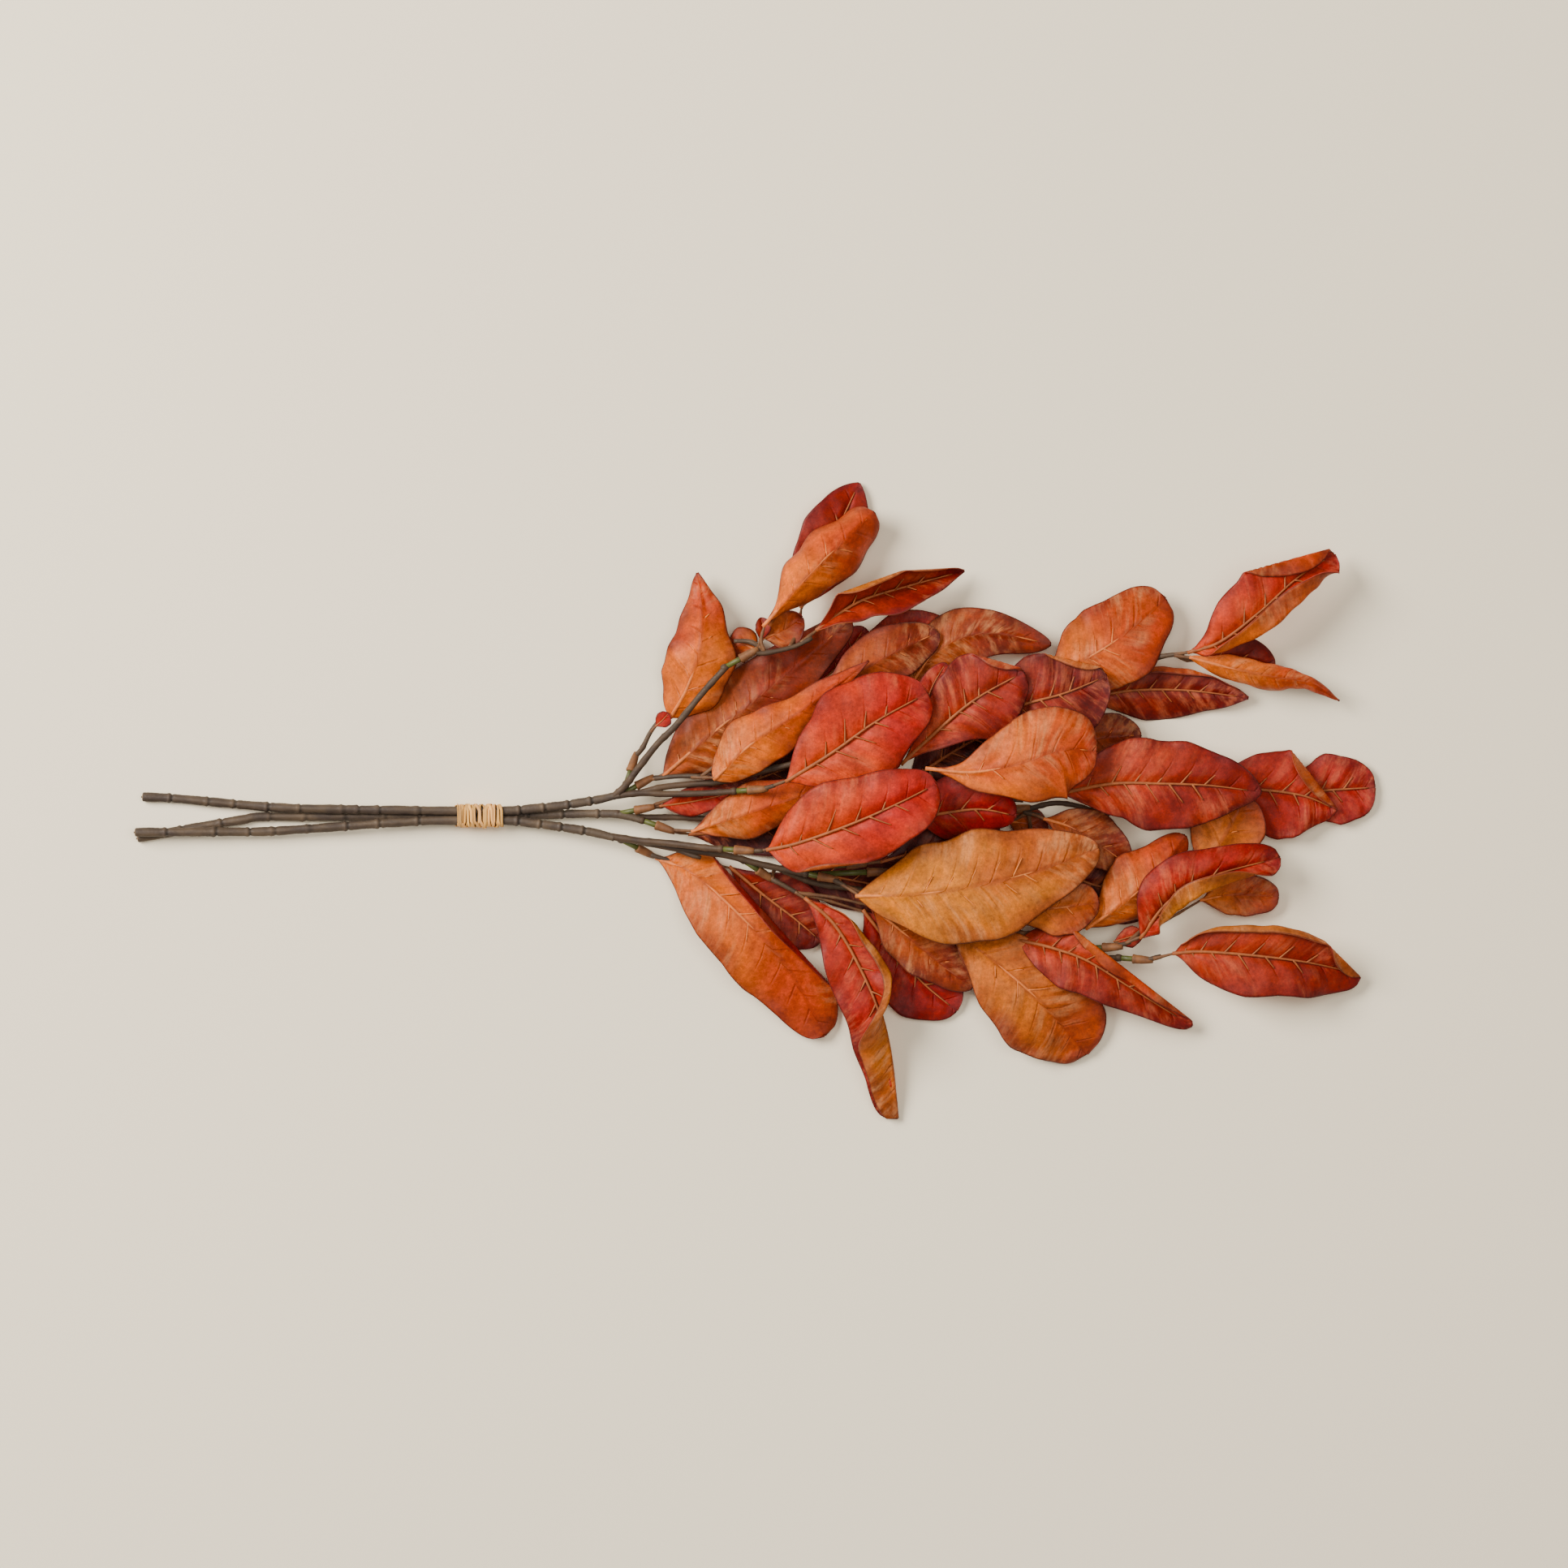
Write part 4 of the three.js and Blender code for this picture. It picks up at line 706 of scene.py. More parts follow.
STEMS["middle"] = (
    [
        [-182.7, -12.1, 2.4], [-168, -9.5, 2.4], [-148, -5.6, 2.6], [-127, -2.2, 3], [-114, -0.6, 3.2],
        [-55, -0.5, 3.9], [-14, 0, 3.9], [14, 0, 3.9], [29, 0.3, 4.4], [46, 0.9, 6], [63, 1, 8.5],
        [74, 0.6, 10.5], [85, -2.2, 11.6],
    ],
    [-113, -95, 62],
    [-160, -139, -74, -52, -30, 24, 43],
    [
        [[[79, -0.8, 11], [105, -1, 8], [135, -2, 7], [165, 2, 8], [198, 8.3, 12.8]], 1.7, 1.6],
        [[[160, 1.2, 7.8], [200, 1.5, 6], [240, -1, 5.5], [262, 0.4, 6.3], [274, 2.1, 7.6]], 1.5, 1.6],
    ],
    ["small_red", "centre_left", "centre", "right"],
)
STEMS["bottom"] = (
    [
        [-183.6, -8.9, 8], [-165, -8.8, 8], [-140, -8.6, 7.4], [-114, -8.4, 7], [-75, -5.8, 7.6],
        [-55, -4.3, 8.2], [-31, -2.8, 8.3], [-14, -2.55, 8.3], [14, -2.55, 8.3], [29, -4.2, 8.8],
        [42, -6, 9.5], [58, -8.6, 11], [71, -11.7, 12.5],
    ],
    [-168, -142, -111, -92, -72, -55, -34, 19, 42],
    [-124, 31, 54],
    [
        [
            [[68, -10.9, 12], [85, -13.4, 14.6], [100, -14.6, 17.8], [120, -17, 24], [129, -17.6, 26.6]], 2,
            1.7,
        ],
        [
            [[80, -12.8, 13.6], [105, -17.6, 13.6], [130, -21, 16.8], [150, -26, 19], [174, -31, 20.4]], 1.9,
            1.7,
        ],
        [[[103, -17.4, 13.7], [110, -20.3, 14.4], [117, -22.4, 14.8]], 1.4, 1.1],
        [
            [
                [158, -28, 19.4], [178, -36, 11], [205, -40, 7], [250, -50, 6], [300, -67, 7],
                [326, -74.6, 10.6], [340, -75.6, 13.3],
            ],
            1.5, 1.6,
        ],
        [[[296, -66, 7], [310, -69.4, 9.6], [324, -70.3, 12.9]], 1.4, 1.6],
        [[[166, -29.6, 19.8], [171, -27.6, 20], [176, -26.9, 20]], 1.5, 1.5],
        [[[164, -29.2, 19.6], [172, -30.4, 17.4], [180, -30.9, 17]], 1.5, 1.5],
    ],
    ["front", "lower_left", "lower_middle", "dark", "front_gold", "bottom", "right_lower", "right_middle"],
)

# Each sprig: its slot, its peg, its twigs and its leaves.
sprig(
    "upper_left", "leaf_orange", [[77, 16, 14], [79.5, 23.5, 11.5]],
    [[[86, 36, 10.5], [90, 44, 10.5], [95, 51, 10.5]]],
    leaf("orange", 40, [[101, 52, 11], [110, 68, 19], [116.5, 88, 22], [117.5, 108, 18], [115, 129, 10]],
         [[94, 49, 10.8]], widest=0.36, blunt=0.75, fold=[-12, 6], curl=[-30, -40]),
    leaf("red", 9, [[93, 47.5, 12.5], [96.5, 50.5, 14], [100, 54.5, 14]], [[90, 44, 10.5]], wave=0),
)
sprig(
    "top", "leaf_orange", [[129, 78, 26.5], [138, 83, 28]],
    [
        [[150, 86, 29], [165, 89, 29], [176, 94, 28]],
        [[148, 85.6, 29], [147, 90, 22], [142, 92.4, 19], [134.5, 92.6, 18.4]],
    ],
    leaf("orange", 44, [[150, 100, 31], [178, 131, 34], [209, 161, 20]], [[151, 86.4, 29], [149, 93, 30]],
         fold=-12, curl=-66, widest=0.62, blunt=0.24),
    leaf("rose", 38, [[170, 110, 13], [184, 140, 11], [201, 177, 3]], [[164, 89, 28.6], [168, 97, 22]],
         fold=[8, 0], blunt=0.7),
    leaf("rose", 36, [[178, 98, 26], [200, 113, 19], [226, 121.5, 15], [257, 130, 9]], [[170, 91.5, 28.6]],
         fold=46, widest=0.5, blunt=0.8, creases=[[176, 111, 228, 130, 150], [226, 128.5, 258, 130.5, 150]]),
    leaf("brown", 19, [[147, 87.5, 17], [140, 90.5, 13.5], [132, 88.5, 12]],
         [[150, 86, 28.6], [148.5, 86, 21]], curl=-15),
    leaf("brown", 22, [[150, 94, 22], [160, 98, 23], [171, 105, 22]], [[150, 86.6, 29], [148, 91, 23]],
         fold=[30, 20], wave=2),
    leaf("wine", 9, [[148.4, 93, 22], [150, 99, 24], [149, 105, 23]], [[147.4, 87.6, 25.8]], fold=20, wave=0),
)
sprig(
    "left_brown", "leaf_brown", [[74, 11, 12.5], [82.5, 15.6, 11.4]],
    [[[94, 20, 11.4], [106, 21, 15.4], [117, 21, 20]]],
    leaf("brown", 44, [[97, 21, 12], [125, 45, 14], [150, 65, 16], [197, 104, 12]], [[91, 19.2, 11.2]],
         widest=0.45, blunt=0.45, fold=[-8, 8], curl=[-20, -28]),
    leaf("orange", 34, [[124, 19, 23], [144, 38, 30], [168, 54, 32], [206, 82, 29]], [[112, 20.4, 18.4]],
         widest=0.36, blunt=0.9, curl=[-50, -35]),
    leaf("rosy", 32, [[180, 67, 23], [200, 76, 25], [222, 88, 23], [243, 97, 17]],
         [[117, 20.6, 20], [140, 38, 23], [164, 56, 23]], curl=[-35, -25], blunt=0.45),
    leaf("crimson", 24, [[180, 70, 5], [193, 83, 5], [204, 100, 4]],
         [[96, 20.2, 11.6], [120, 34, 6], [150, 52, 5]], blunt=0.5),
    leaf("red", 26, [[196, 82, 9], [220, 94, 9.5], [250, 103, 8]], [[164, 56, 22.6], [178, 68, 15]],
         blunt=0.8),
)
sprig(
    "centre_red", "leaf_red", [[134, 12.9, 20.5], [142, 13.5, 23]],
    [[[151, 14.5, 26], [156, 16, 30]]],
    leaf("flame", 54, [[162, 18, 34], [186, 33, 40], [210, 50, 43], [237, 65, 38]], [[154, 15.4, 28.4]],
         widest=0.52, blunt=0.38, fold=8, curl=-26),
)
sprig(
    "upper_middle", "leaf_burgundy", [[168, 28, 22], [175, 30, 23]],
    [
        [[184, 31.5, 24], [205, 29, 23], [216, 27.6, 24]],
        [[203, 29.2, 23], [225, 38, 19], [252, 48, 17.5], [285, 66, 14]],
    ],
    leaf("rose", 48, [[223, 27, 26], [250, 52, 31], [266, 64, 32], [288, 76, 31]], [[213, 28, 23.6]],
         widest=0.6, blunt=0.4, fold=6, curl=[-16, -20], creases=[[262, 84, 289, 76, 155]]),
    leaf("wine", 52, [[262, 51, 20], [290, 59.5, 26], [310, 65, 27.5], [332, 74, 26]], [[246, 45.6, 17.6]],
         widest=0.55, blunt=0.4, fold=4, curl=-14, creases=[[281, 89, 330, 77, 150]]),
    leaf("brown", 30, [[226, 66, 12], [243, 88, 14], [268, 97, 15], [303, 91, 12]],
         [[208, 30.4, 22], [214, 46, 15]], widest=0.5, blunt=0.6, curl=-20),
    leaf("red", 14, [[236, 58, 20], [240, 69, 21], [247, 81, 20]], [[232, 40.6, 18.6]], wave=0),
    leaf("orange", 48, [[297, 71, 16], [319, 82, 20], [337, 93, 22], [364, 115, 12]], [[282, 64.4, 14.4]],
         widest=0.58, blunt=0.36, fold=[6, 10], curl=[-20, -28]),
    leaf("wine", 34, [[320, 62, 8], [346, 66.5, 8], [376, 66.5, 8], [408, 62.5, 7]],
         [[283, 65, 14], [300, 61, 12]], widest=0.5, blunt=0.8, fold=[4, -12], curl=[0, -20], lip=[150, 0],
         lip_from=0.62),
)
sprig(
    "right_upper", "leaf_red", [[342, 80.3, 12], [350, 82, 13.5]],
    [[[359, 84, 16], [366, 85.2, 18.5], [373, 85.6, 21]]],
    leaf("flame", 46, [[375, 86.4, 22], [392, 92, 26], [413, 108, 28], [433, 126, 24], [453, 139, 14]],
         [[368, 85.4, 20.4]], widest=0.6, blunt=0.42, fold=6, curl=[-10, 0], lip=[0, 165], lip_from=0.4,
         creases=[[402, 127, 446, 139, 160]]),
    leaf("wine", 26, [[380, 82, 13], [400, 84, 12], [422, 79, 8]], [[369, 85, 20], [374, 82.6, 16]],
         blunt=0.45),
    leaf("orange", 32, [[376, 84, 22], [396, 78.5, 25], [418, 74, 24], [437, 71, 20], [456, 61, 12]],
         [[368, 85, 20.4]], widest=0.42, blunt=0.9, fold=-10, curl=-105),
)
sprig(
    "small_red", "leaf_red", [[72, 0.9, 10.3], [82, 2.8, 13]],
    [],
    leaf("red", 16, [[95, 5, 14], [112, 7.4, 12], [136, 12.4, 11]], [[89, 4.1, 14.4]], fold=[14, 5],
         blunt=0.9),
    leaf("wine", 12, [[108, 10.6, 12], [128, 17, 11], [147, 21, 10]], [[89, 4.1, 14.8], [97, 7.4, 13]],
         wave=0),
    # A low leaf under a gap, in the dark tone: painted shade for the gap above it.
    leaf("dark", 30, [[106, 6, 2.4], [130, 13, 2.4], [165, 26, 2.6], [202, 38, 2.4]],
         [[91, 4.4, 11], [98, 5, 5]]),
)
sprig(
    "centre_left", "leaf_gold", [[85, -2.2, 11.6], [93, -5, 12.5]],
    [],
    leaf("orange", 30, [[112, -8.5, 15], [132, -2, 18], [155, 5.5, 19], [187, 15.5, 17]],
         [[101, -7.8, 13.8]], widest=0.55, blunt=0.75, fold=[5, -5], curl=[-25, -40]),
    # A low leaf under a gap, in the dark tone: painted shade for the gap above it.
    leaf("dark", 34, [[110, -10, 2.4], [140, -8, 2.4], [180, -3, 2.6], [216, 2, 2.4]],
         [[102, -8, 13], [105, -9, 6]]),
)
sprig(
    "centre", "leaf_orange", [[196, 8, 12.5], [203, 9, 14]],
    [[[212, 10.2, 16], [235, 11, 18], [262, 10, 17], [288, 8, 17]]],
    leaf("orange", 52, [[236, 25, 38], [261, 23, 45], [286, 28, 49], [307, 35, 48], [326, 34, 43]],
         [[240, 11, 18], [240, 17, 28]], widest=0.66, blunt=0.4, fold=14, curl=-42),
    leaf("crimson", 38, [[232, -1, 28], [246, 1.5, 30], [265, 3.5, 31], [284, 0, 28]],
         [[224, 10.6, 17], [226, 4, 22]], widest=0.45, blunt=0.45, fold=[6, -20], curl=[-12, -14]),
    leaf("rose", 50, [[308, 12, 26], [335, 17, 30], [360, 17, 31], [386, 16, 29], [414, 12.5, 24]],
         [[284, 8.4, 17], [296, 9.4, 21]], widest=0.48, blunt=0.62, fold=[6, 4], curl=[-18, -24]),
    leaf("brown", 30, [[296, 31, 10], [322, 40, 7], [351, 43, 5]], [[256, 10.2, 17], [276, 20, 13]],
         blunt=0.45),
    # A low leaf under a gap, in the dark tone: painted shade for the gap above it.
    leaf("dark", 40, [[226, 16, 2.4], [245, 30, 2.4], [270, 44, 2.6], [296, 52, 2.4]],
         [[214, 10.4, 15.8], [219, 12, 7]]),
)
sprig(
    "right", "leaf_red", [[272, 1.8, 7.4], [281, 3, 8.5]],
    [
        [[289, 2, 9.6], [297, 0, 11]],
        [[288, 2.6, 9.4], [304, 6.6, 9], [318, 5, 8], [332, 1, 7], [350, 6, 6.6], [366, 11.6, 7]],
    ],
    leaf("brown", 30, [[299, -1.6, 13], [313, -6, 15], [328, -15, 14], [346, -28, 11]], [[292, 1.2, 10.2]],
         fold=10, curl=-30),
    leaf("red", 48, [[380, 14.5, 8], [411, 14, 10], [437, 10.5, 10], [455, 3, 8]], [[362, 10.6, 7]],
         widest=0.55, blunt=0.6, fold=2, curl=-6, creases=[[429, 35, 453, 4, 125]]),
    leaf("red", 38, [[418, 14, 4], [440, 13, 4], [458, 14, 4.5], [475.5, 15, 4]],
         [[364, 11, 6.6], [390, 13, 4.4]], widest=0.6, blunt=0.36, wave=0.5),
    leaf("brown", 20, [[280, -3, 5], [290, -4.5, 4.5], [301, -9, 4]], [[290, 1.4, 9.4], [284, -2, 6]],
         wave=0.5),
    # A low leaf under a gap, in the dark tone: painted shade for the gap above it.
    leaf("dark", 36, [[296, -20, 2.4], [318, -34, 2.4], [342, -40, 2.6], [370, -40, 2.4]],
         [[291, 1.6, 9.8], [293, -10, 4]]),
)
sprig(
    "front", "leaf_red", [[127, -17.5, 26], [135, -18, 28.5]],
    [[[144, -18.6, 31], [150, -18.4, 33.4]]],
    leaf("flame", 48, [[152, -18, 34], [168, -14.5, 40], [196, -4.5, 48], [222, 7, 51], [241.5, 17, 48]],
         [[147, -18.5, 32.2]], widest=0.5, blunt=0.4, fold=[8, 6], curl=[-22, -18],
         creases=[[214, -22, 166, -29, 150]]),
)
sprig(
    "lower_left", "leaf_orange", [[74, -12.4, 12], [83, -17, 8]],
    [[[92, -21.4, 6], [104, -25, 6]]],
    leaf("orange", 52, [[93, -22.5, 4.5], [113, -31, 11], [140, -55, 20], [163, -81, 15], [183, -117, 5.5]],
         [[90.5, -21, 5]], widest=0.56, blunt=0.4, fold=[0, 4], curl=[-34, -18],
         creases=[[118, -17, 157, -60, 105]]),
    leaf("wine", 36, [[132, -27, 6], [150, -42, 6], [167, -55, 6], [181, -67, 4.5]],
         [[100, -24, 6], [116, -25, 5.5]], blunt=0.5),
)
sprig(
    "lower_middle", "leaf_red", [[139, -23.2, 17.4], [147, -28.6, 14.4]],
    [[[158, -35.4, 13.4], [170, -42, 13.6]]],
    leaf("red", 40,
         [[172, -43.5, 15], [188, -58, 16], [202, -82, 17], [213, -108, 17], [219, -134, 11], [222, -161, 3]],
         [[167, -40.4, 14.8]], widest=0.55, blunt=0.3, lip=[160, 0], lip_from=0.6, curl=[10, -10],
         close=[150, 0]),
    leaf("crimson", 42, [[203, -50, 8], [217, -68, 6], [234, -88, 4.5], [253, -104, 3.5]],
         [[168, -41, 14.4], [184, -45, 11]], blunt=0.45, wave=0.5),
    leaf("brown", 30, [[206, -47, 13], [222, -60, 14], [240, -75, 13], [261, -92, 10]],
         [[168, -41, 14.4], [188, -43.4, 13]], blunt=0.6, curl=-15),
    # A low leaf under a gap, in the dark tone: painted shade for the gap above it.
    leaf("dark", 32, [[160, -26, 2.4], [185, -32, 2.4], [215, -38, 2.6], [240, -44, 2.4]],
         [[155, -34, 13.6], [156, -29, 7]]),
)
sprig(
    "dark", "leaf_burgundy", [[174, -27, 20], [194, -26, 20]],
    [],
    # This leaf's dark tone is partly painted shade.
    leaf("dark", 26, [[212, -24.6, 20], [234, -18.5, 19], [256, -12, 18], [276, -8.5, 16]],
         [[202, -25.6, 20]], blunt=0.6, curl=[0, -10]),
)
sprig(
    "front_gold", "leaf_gold", [[172, -30.6, 20.2], [179, -32, 21]],
    [[[187, -33.6, 22.2], [194, -37.4, 24.6]]],
    leaf("gold", 60, [[199, -42.5, 28], [230, -41.5, 35], [260, -37, 38], [291, -30, 37], [328, -17, 29]],
         [[191, -35.8, 23.6]], widest=0.48, blunt=0.5, fold=[14, 10], curl=[-40, -34]),
    leaf("peach", 30, [[278, -54, 25], [296, -50, 27.5], [312, -48, 27.5], [328, -46, 24]],
         [[193, -37, 24.2], [214, -45, 24], [248, -50, 22]], blunt=0.4, curl=-14),
)
sprig(
    "bottom", "leaf_orange", [[178, -31, 17], [205, -30, 16.5]],
    [[[213, -30, 16.4], [224, -38, 17.4], [243, -52, 18], [262, -59.4, 18], [276, -63.4, 19]]],
    leaf("peach", 54, [[248, -60.5, 18], [267, -73, 21], [290, -92, 21], [309, -111, 12], [322, -127, 4]],
         [[243, -52, 18]], widest=0.58, blunt=0.36, fold=8, curl=[-24, -28]),
    leaf("rose", 36, [[286, -66, 21], [303, -70, 24.5], [322, -77, 26], [346, -92, 21], [378, -112, 8]],
         [[272, -62.4, 18.6]], widest=0.42, blunt=0.5, fold=[0, 8], curl=[-30, -10],
         creases=[[310, -58, 381, -113, 150]]),
    leaf("orange", 40, [[321, -60, 17], [339, -47.5, 21], [356, -33, 22], [374, -10.5, 17]],
         [[274, -63, 18.6], [292, -62, 14], [308, -61, 15]], widest=0.55, blunt=0.5, fold=[4, -22],
         curl=[-34, -44]),
)
sprig(
    "right_lower", "leaf_red", [[338, -75.4, 13], [346, -76, 14.4]],
    [[[354, -76.4, 16.2], [361, -74.6, 18.2]]],
    leaf("rose", 44, [[367, -73, 20], [382, -72, 22], [410, -74, 24], [440, -78, 20], [468.5, -84.6, 6]],
         [[357, -75.8, 18]], widest=0.56, blunt=0.42, fold=[8, 4], curl=[0, -14], lip=[150, 0],
         lip_from=0.66, creases=[[437, -58, 466, -86, 150]]),
)
sprig(
    "right_middle", "leaf_gold", [[322, -70.4, 12.4], [330, -70, 14.2]],
    [[[338, -69, 16], [345, -67, 17]]],
    leaf("red", 38, [[350, -65, 19], [364, -46, 27], [384, -33, 30], [424, -22, 20]], [[342, -67.8, 16.6]],
         widest=0.5, blunt=0.4, fold=[25, 6], curl=[-50, 0], lip=[0, 165], lip_from=0.34),
    leaf("peach", 24, [[382, -45, 8], [401, -42, 9], [424, -43, 7]], [[343, -67.4, 16.6], [360, -58, 10]],
         blunt=0.36, wave=0.5),
    leaf("peach", 40, [[378, -38, 12], [389, -21, 14], [398, -5, 15], [406, 11, 14]],
         [[343, -67.4, 16.6], [359, -54, 12]], widest=0.62, blunt=0.45, wave=0.5),
    leaf("red", 11, [[336, -67, 12], [344, -64.6, 11.6], [352, -62, 11]], [[340, -68.4, 16]], wave=0),
)


def ringed_stem(piece, rng, points, rings):
    """A thick stem in moulded segments: a raised ring and a shallow groove at each joint."""
    count = int((points[-1][0] - points[0][0]) / STEM_SLICE)
    t = np.linspace(0, 1, count + 1)
    centres, _ = curve_at(points, t)
    x = centres[:, 0]
    radii = STEM_RADIUS + (STEM_END_RADIUS - STEM_RADIUS) * np.maximum(0, (x - TAPER_FROM) / TAPER_LENGTH)
    radii = radii + 0.1 * np.sin(x / 5.3 + points[0][1]) + 0.06 * np.sin(x / 1.9)
    shade = 1 + 0.08 * np.sin(x / 7.7 + points[0][1])
    for ring in rings:
        groove = x - ring - GROOVE_AFTER
        radii = radii + RING_RISE * bell(x - ring, RING_WIDTH) - GROOVE_DEPTH * bell(groove, GROOVE_WIDTH)
        shade = shade - GROOVE_SHADE * bell(groove, SHADE_WIDTH)
        shade = shade + RING_SHADE * bell(x - ring + 0.3, SHADE_WIDTH)
    angles = np.arange(STEM_SIDES) / STEM_SIDES * math.tau
    ridges = 0.07 * np.sin(3 * angles + 0.02 * x[:, None])
    rough = 0.05 * rng.standard_normal((count + 1, STEM_SIDES))
    body = np.maximum(radii[:, None] + ridges + rough, 0.5)
    body[0] *= 0.9
    tones = BARK * np.clip(shade, 0.4, 1.4)[:, None]
    tube(piece, centres, body, STEM_SIDES, "bark", tones)
    (end,), (along,) = curve_at(points, [0.0])
    tip = end - along * 0.25
    bar_between(piece, tip, end + along, CUT_RADII, STEM_SIDES, "sleeve", CUT_TAN)
    bar_between(piece, tip - along * 0.6, end, CORE_RADII, 10, "bark", CORE_GREY)


def peg_line(ends):
    start, mouth = (np.array(p, float) for p in ends)
    return start, mouth, unit(mouth - start)


def build_stem(name, points, rings, extra_rings, branches, pegs, seed):
    rng = np.random.default_rng(seed)
    piece = Piece(["bark", "peg", "sleeve"])
    ringed_stem(piece, rng, points, rings + extra_rings)
    for path, start, end in branches:
        twig(piece, rng, path, start, end)
    for peg in pegs:
        start, mouth, along = peg_line(SPRIGS[peg]["peg"])
        collar_end = start + along * COLLAR_LENGTH
        bar_between(piece, start - along, collar_end, COLLAR_RADII, PEG_SIDES, "bark", TWIG_BROWN)
        bar_between(piece, start, mouth + along * PEG_DEPTH, [PEG_RADIUS] * 2, PEG_SIDES, "peg", PEG_GREEN)
    piece.build("bark_" + name, ["stem_" + name])


def build_sprig(name, seed):
    rng = np.random.default_rng(seed)
    parts = SPRIGS[name]
    piece = Piece(["upper side", "under side", "rib", "bark", "sleeve"])
    _, mouth, along = peg_line(parts["peg"])
    centres = [mouth + along * step for step, _ in SLEEVE_PROFILE]
    tube(piece, centres, [radius for _, radius in SLEEVE_PROFILE], SLEEVE_SIDES, "sleeve", SLEEVE_TAN)
    sleeve_end = (mouth + along * (SLEEVE_LENGTH - SLEEVE_OVERLAP)).tolist()
    for i, points in enumerate(parts["twigs"]):
        path = [sleeve_end, *points] if i == 0 else points
        twig(piece, rng, path, TWIG_RADIUS, STALK_RADIUS)
    for shape in parts["leaves"]:
        foot, _ = curve_at(shape["spine"], [0.02])
        stalk = [*shape["stalk"], foot[0].tolist()]
        twig(piece, rng, stalk, STALK_RADIUS, STALK_TIP_RADIUS, "sleeve", STALK_BROWN, STALK_SIDES)
        length = leaf_blade(piece, rng, shape)
        leaf_ribs(piece, rng, shape, length)
    piece.build("leaves_" + name, ["sprig_" + name])


def tie_outline(radius, angles):
    """The place round the three stems at each angle, for a strand drawn tight at that radius."""
    y, z = np.cos(angles), np.sin(angles)
    reach = np.array([c[0] * y + c[1] * z for c in TIE_CENTRES])
    centre = np.array(TIE_CENTRES)[np.argmax(reach, axis=0)]
    return centre[:, 0] + radius * y, np.maximum(centre[:, 1] + radius * z, 0.2)


def strand(piece, rng, x_start, x_end, radius, width, begin, turns, loose=0.0):
    """A flat ribbon of raffia round the stems. Loose ends lift away from them."""
    count = int(STRAND_STEPS * turns)
    share = np.linspace(0, 1, count + 1)
    angles = begin + share * turns * math.tau
    y, z = tie_outline(radius, angles)
    from_end = np.minimum(share, 1 - share)
    lift = loose * np.maximum(0, 1 - from_end / 0.12) ** 2
    y, z = y + np.cos(angles) * lift, z + np.maximum(np.sin(angles), 0) * lift
    x = x_start + (x_end - x_start) * share + 0.25 * np.sin(angles * 2 + rng.uniform(0, 6))
    centres = np.stack([x, y, z], 1)
    outward = np.stack([np.zeros(count + 1), np.cos(angles), np.sin(angles)], 1)
    along = unit(np.gradient(centres, axis=0))
    wide = unit(np.cross(outward, along))
    outward = np.cross(along, wide)
    narrowed = width * np.minimum(1, 0.35 + 6 * from_end)[:, None]
    ring = [centres + wide * a * narrowed + outward * b * STRAND_THICKNESS for a, b in STRAND_SECTION]
    points = np.stack(ring, 1)
    points[..., 2] = np.maximum(points[..., 2], 0.03)
    tone = RAFFIA * rng.uniform(0.78, 1.12) * np.array([1, rng.uniform(0.94, 1.02), rng.uniform(0.82, 1.05)])
    faces = ring_faces(count + 1, len(STRAND_SECTION))
    piece.add(points.reshape(-1, 3), faces, "raffia", np.clip(tone, 0, 1))


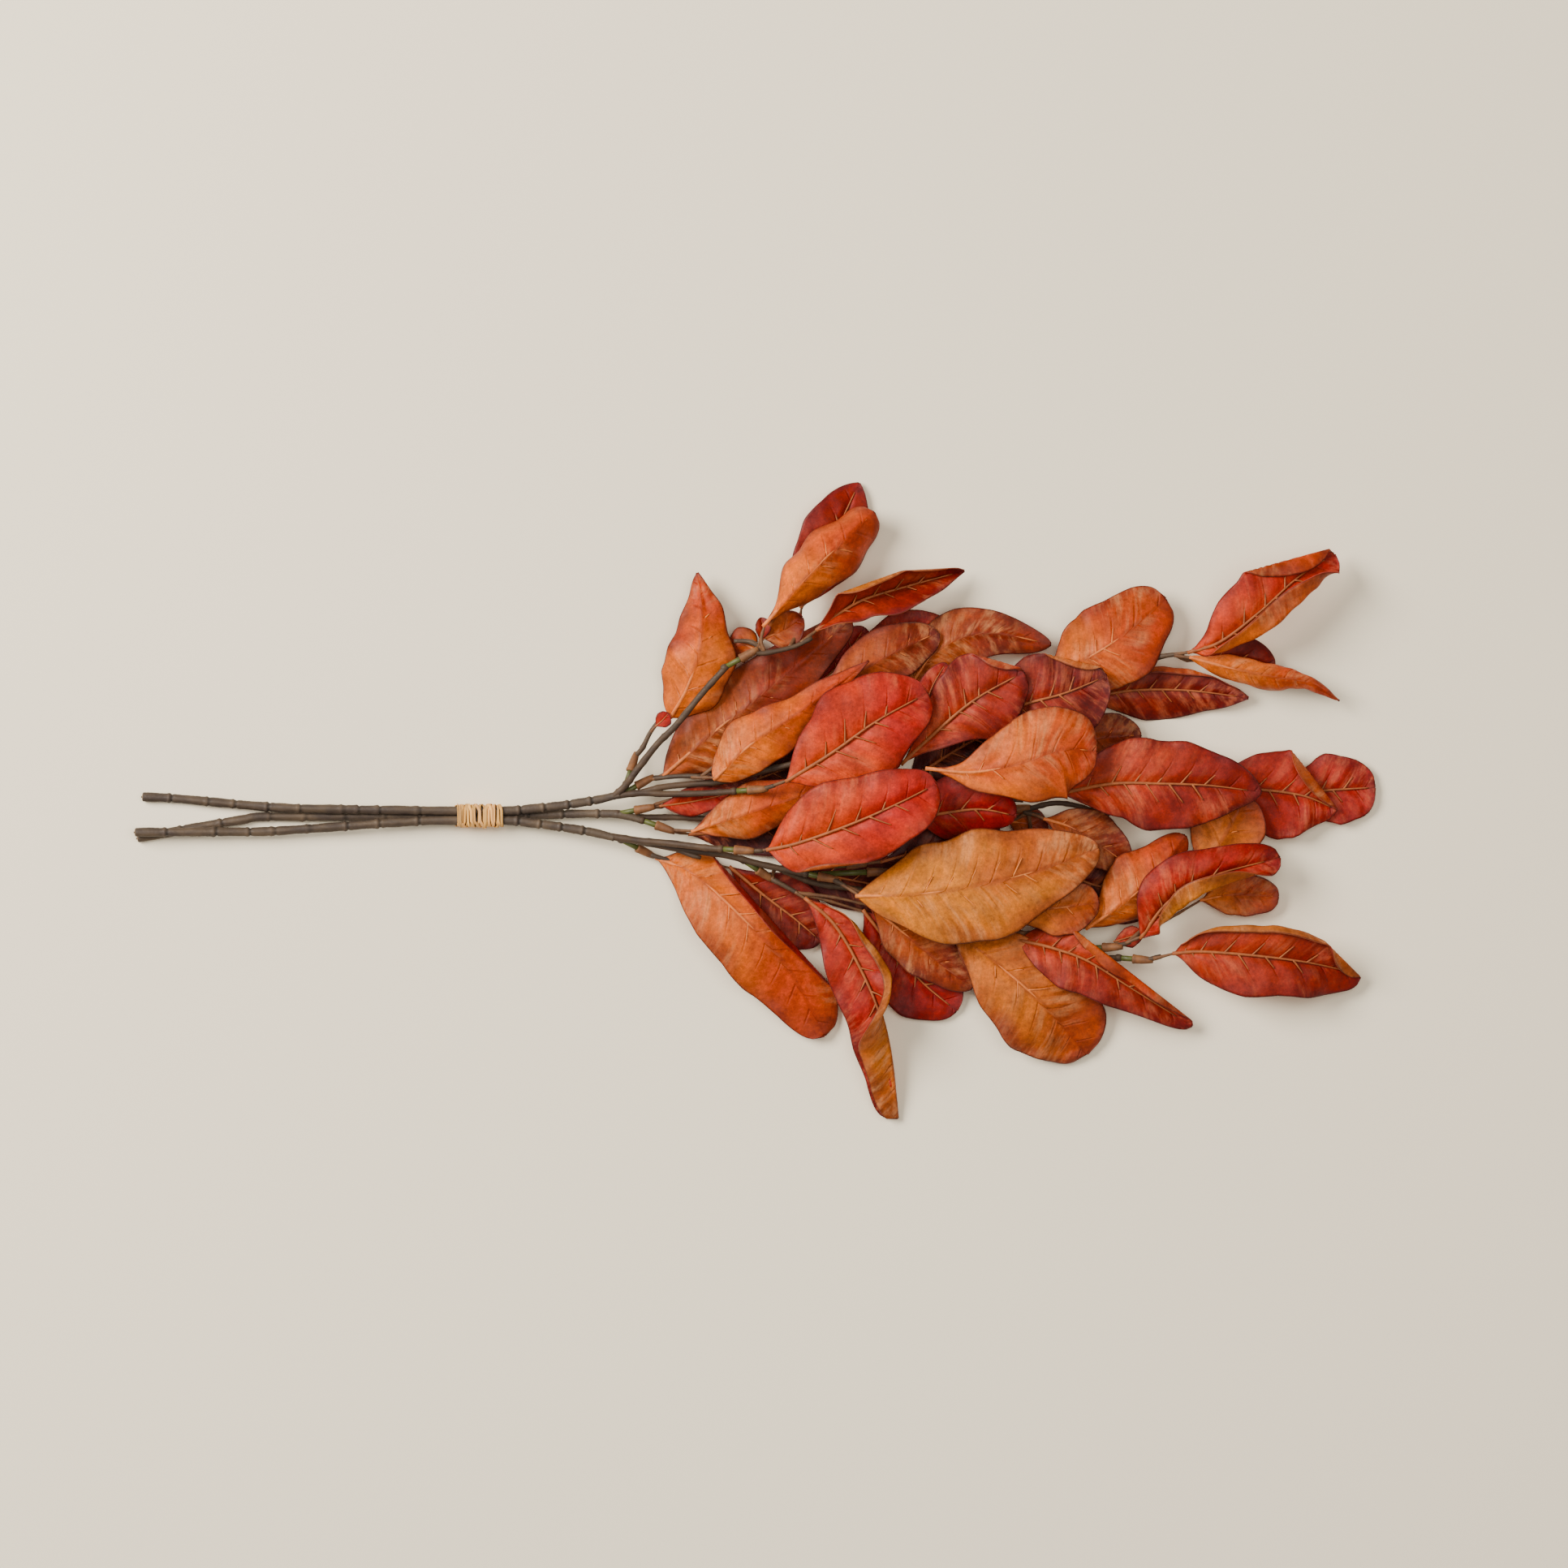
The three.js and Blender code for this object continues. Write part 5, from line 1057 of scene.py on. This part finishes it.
def build_tie(seed):
    rng = np.random.default_rng(seed)
    piece = Piece(["raffia"])
    for i in range(TIE_STRANDS):
        middle = TIE_X[0] + (TIE_X[1] - TIE_X[0]) * (i + 0.5) / TIE_STRANDS
        slant = rng.uniform(-TIE_SLANT, TIE_SLANT)
        radius = STEM_RADIUS + TIE_LIFT + TIE_LAYERS * (i % 3) / 2 + rng.uniform(0, 0.2)
        width = STRAND_WIDTH * rng.uniform(0.7, 1.15)
        strand(piece, rng, middle - slant, middle + slant, radius, width, rng.uniform(0, 6), TIE_TURNS)
    for x_start, x_end, begin, turns, loose in LOOSE_STRANDS:
        strand(piece, rng, x_start, x_end, STEM_RADIUS + LOOSE_LIFT, LOOSE_WIDTH, begin, turns, loose)
    piece.build("raffia_strands", ["raffia_tie"])


def build_setting():
    """The surface, the light and the camera of the photograph."""
    bpy.ops.mesh.primitive_plane_add(size=FLOOR_SIZE, location=FLOOR_CENTRE)
    floor = bpy.context.object
    floor.name = "surface"
    material, tree, surface, where = new_material("surface")
    soft = noise(tree, where, 1.2, 2.0, 0.5)
    finished(tree, surface, mixed(tree, soft, FLOOR_CREAM, FLOOR_PALE), 0.8, 0.1)
    floor.data.materials.append(material)
    world = bpy.data.worlds.new("soft light")
    bpy.context.scene.world = world
    world.use_nodes = True
    background = world.node_tree.nodes["Background"]
    background.inputs["Color"].default_value = WORLD_COLOUR
    background.inputs["Strength"].default_value = WORLD_STRENGTH
    for name, (place, size, power) in LIGHTS.items():
        data = bpy.data.lights.new(name, "AREA")
        data.shape = "DISK"
        data.size = size
        data.energy = power
        data.color = LIGHT_COLOUR
        lamp = added(name, data)
        lamp.location = place
        aim = Vector(LIGHT_AIM) - Vector(place)
        lamp.rotation_euler = aim.to_track_quat("-Z", "Y").to_euler()
    data = bpy.data.cameras.new("camera")
    data.lens = data.sensor_width * CAMERA_HEIGHT / CAMERA_WIDTH
    camera = added("camera", data)
    camera.location = (*CAMERA_OVER, CAMERA_HEIGHT)
    bpy.context.scene.camera = camera


build_setting()
for seed, name in enumerate(STEMS, STEM_SEED):
    build_stem(name, *STEMS[name], seed)
build_tie(TIE_SEED)
for seed, name in enumerate(SPRIGS, SPRIG_SEED):
    build_sprig(name, seed)
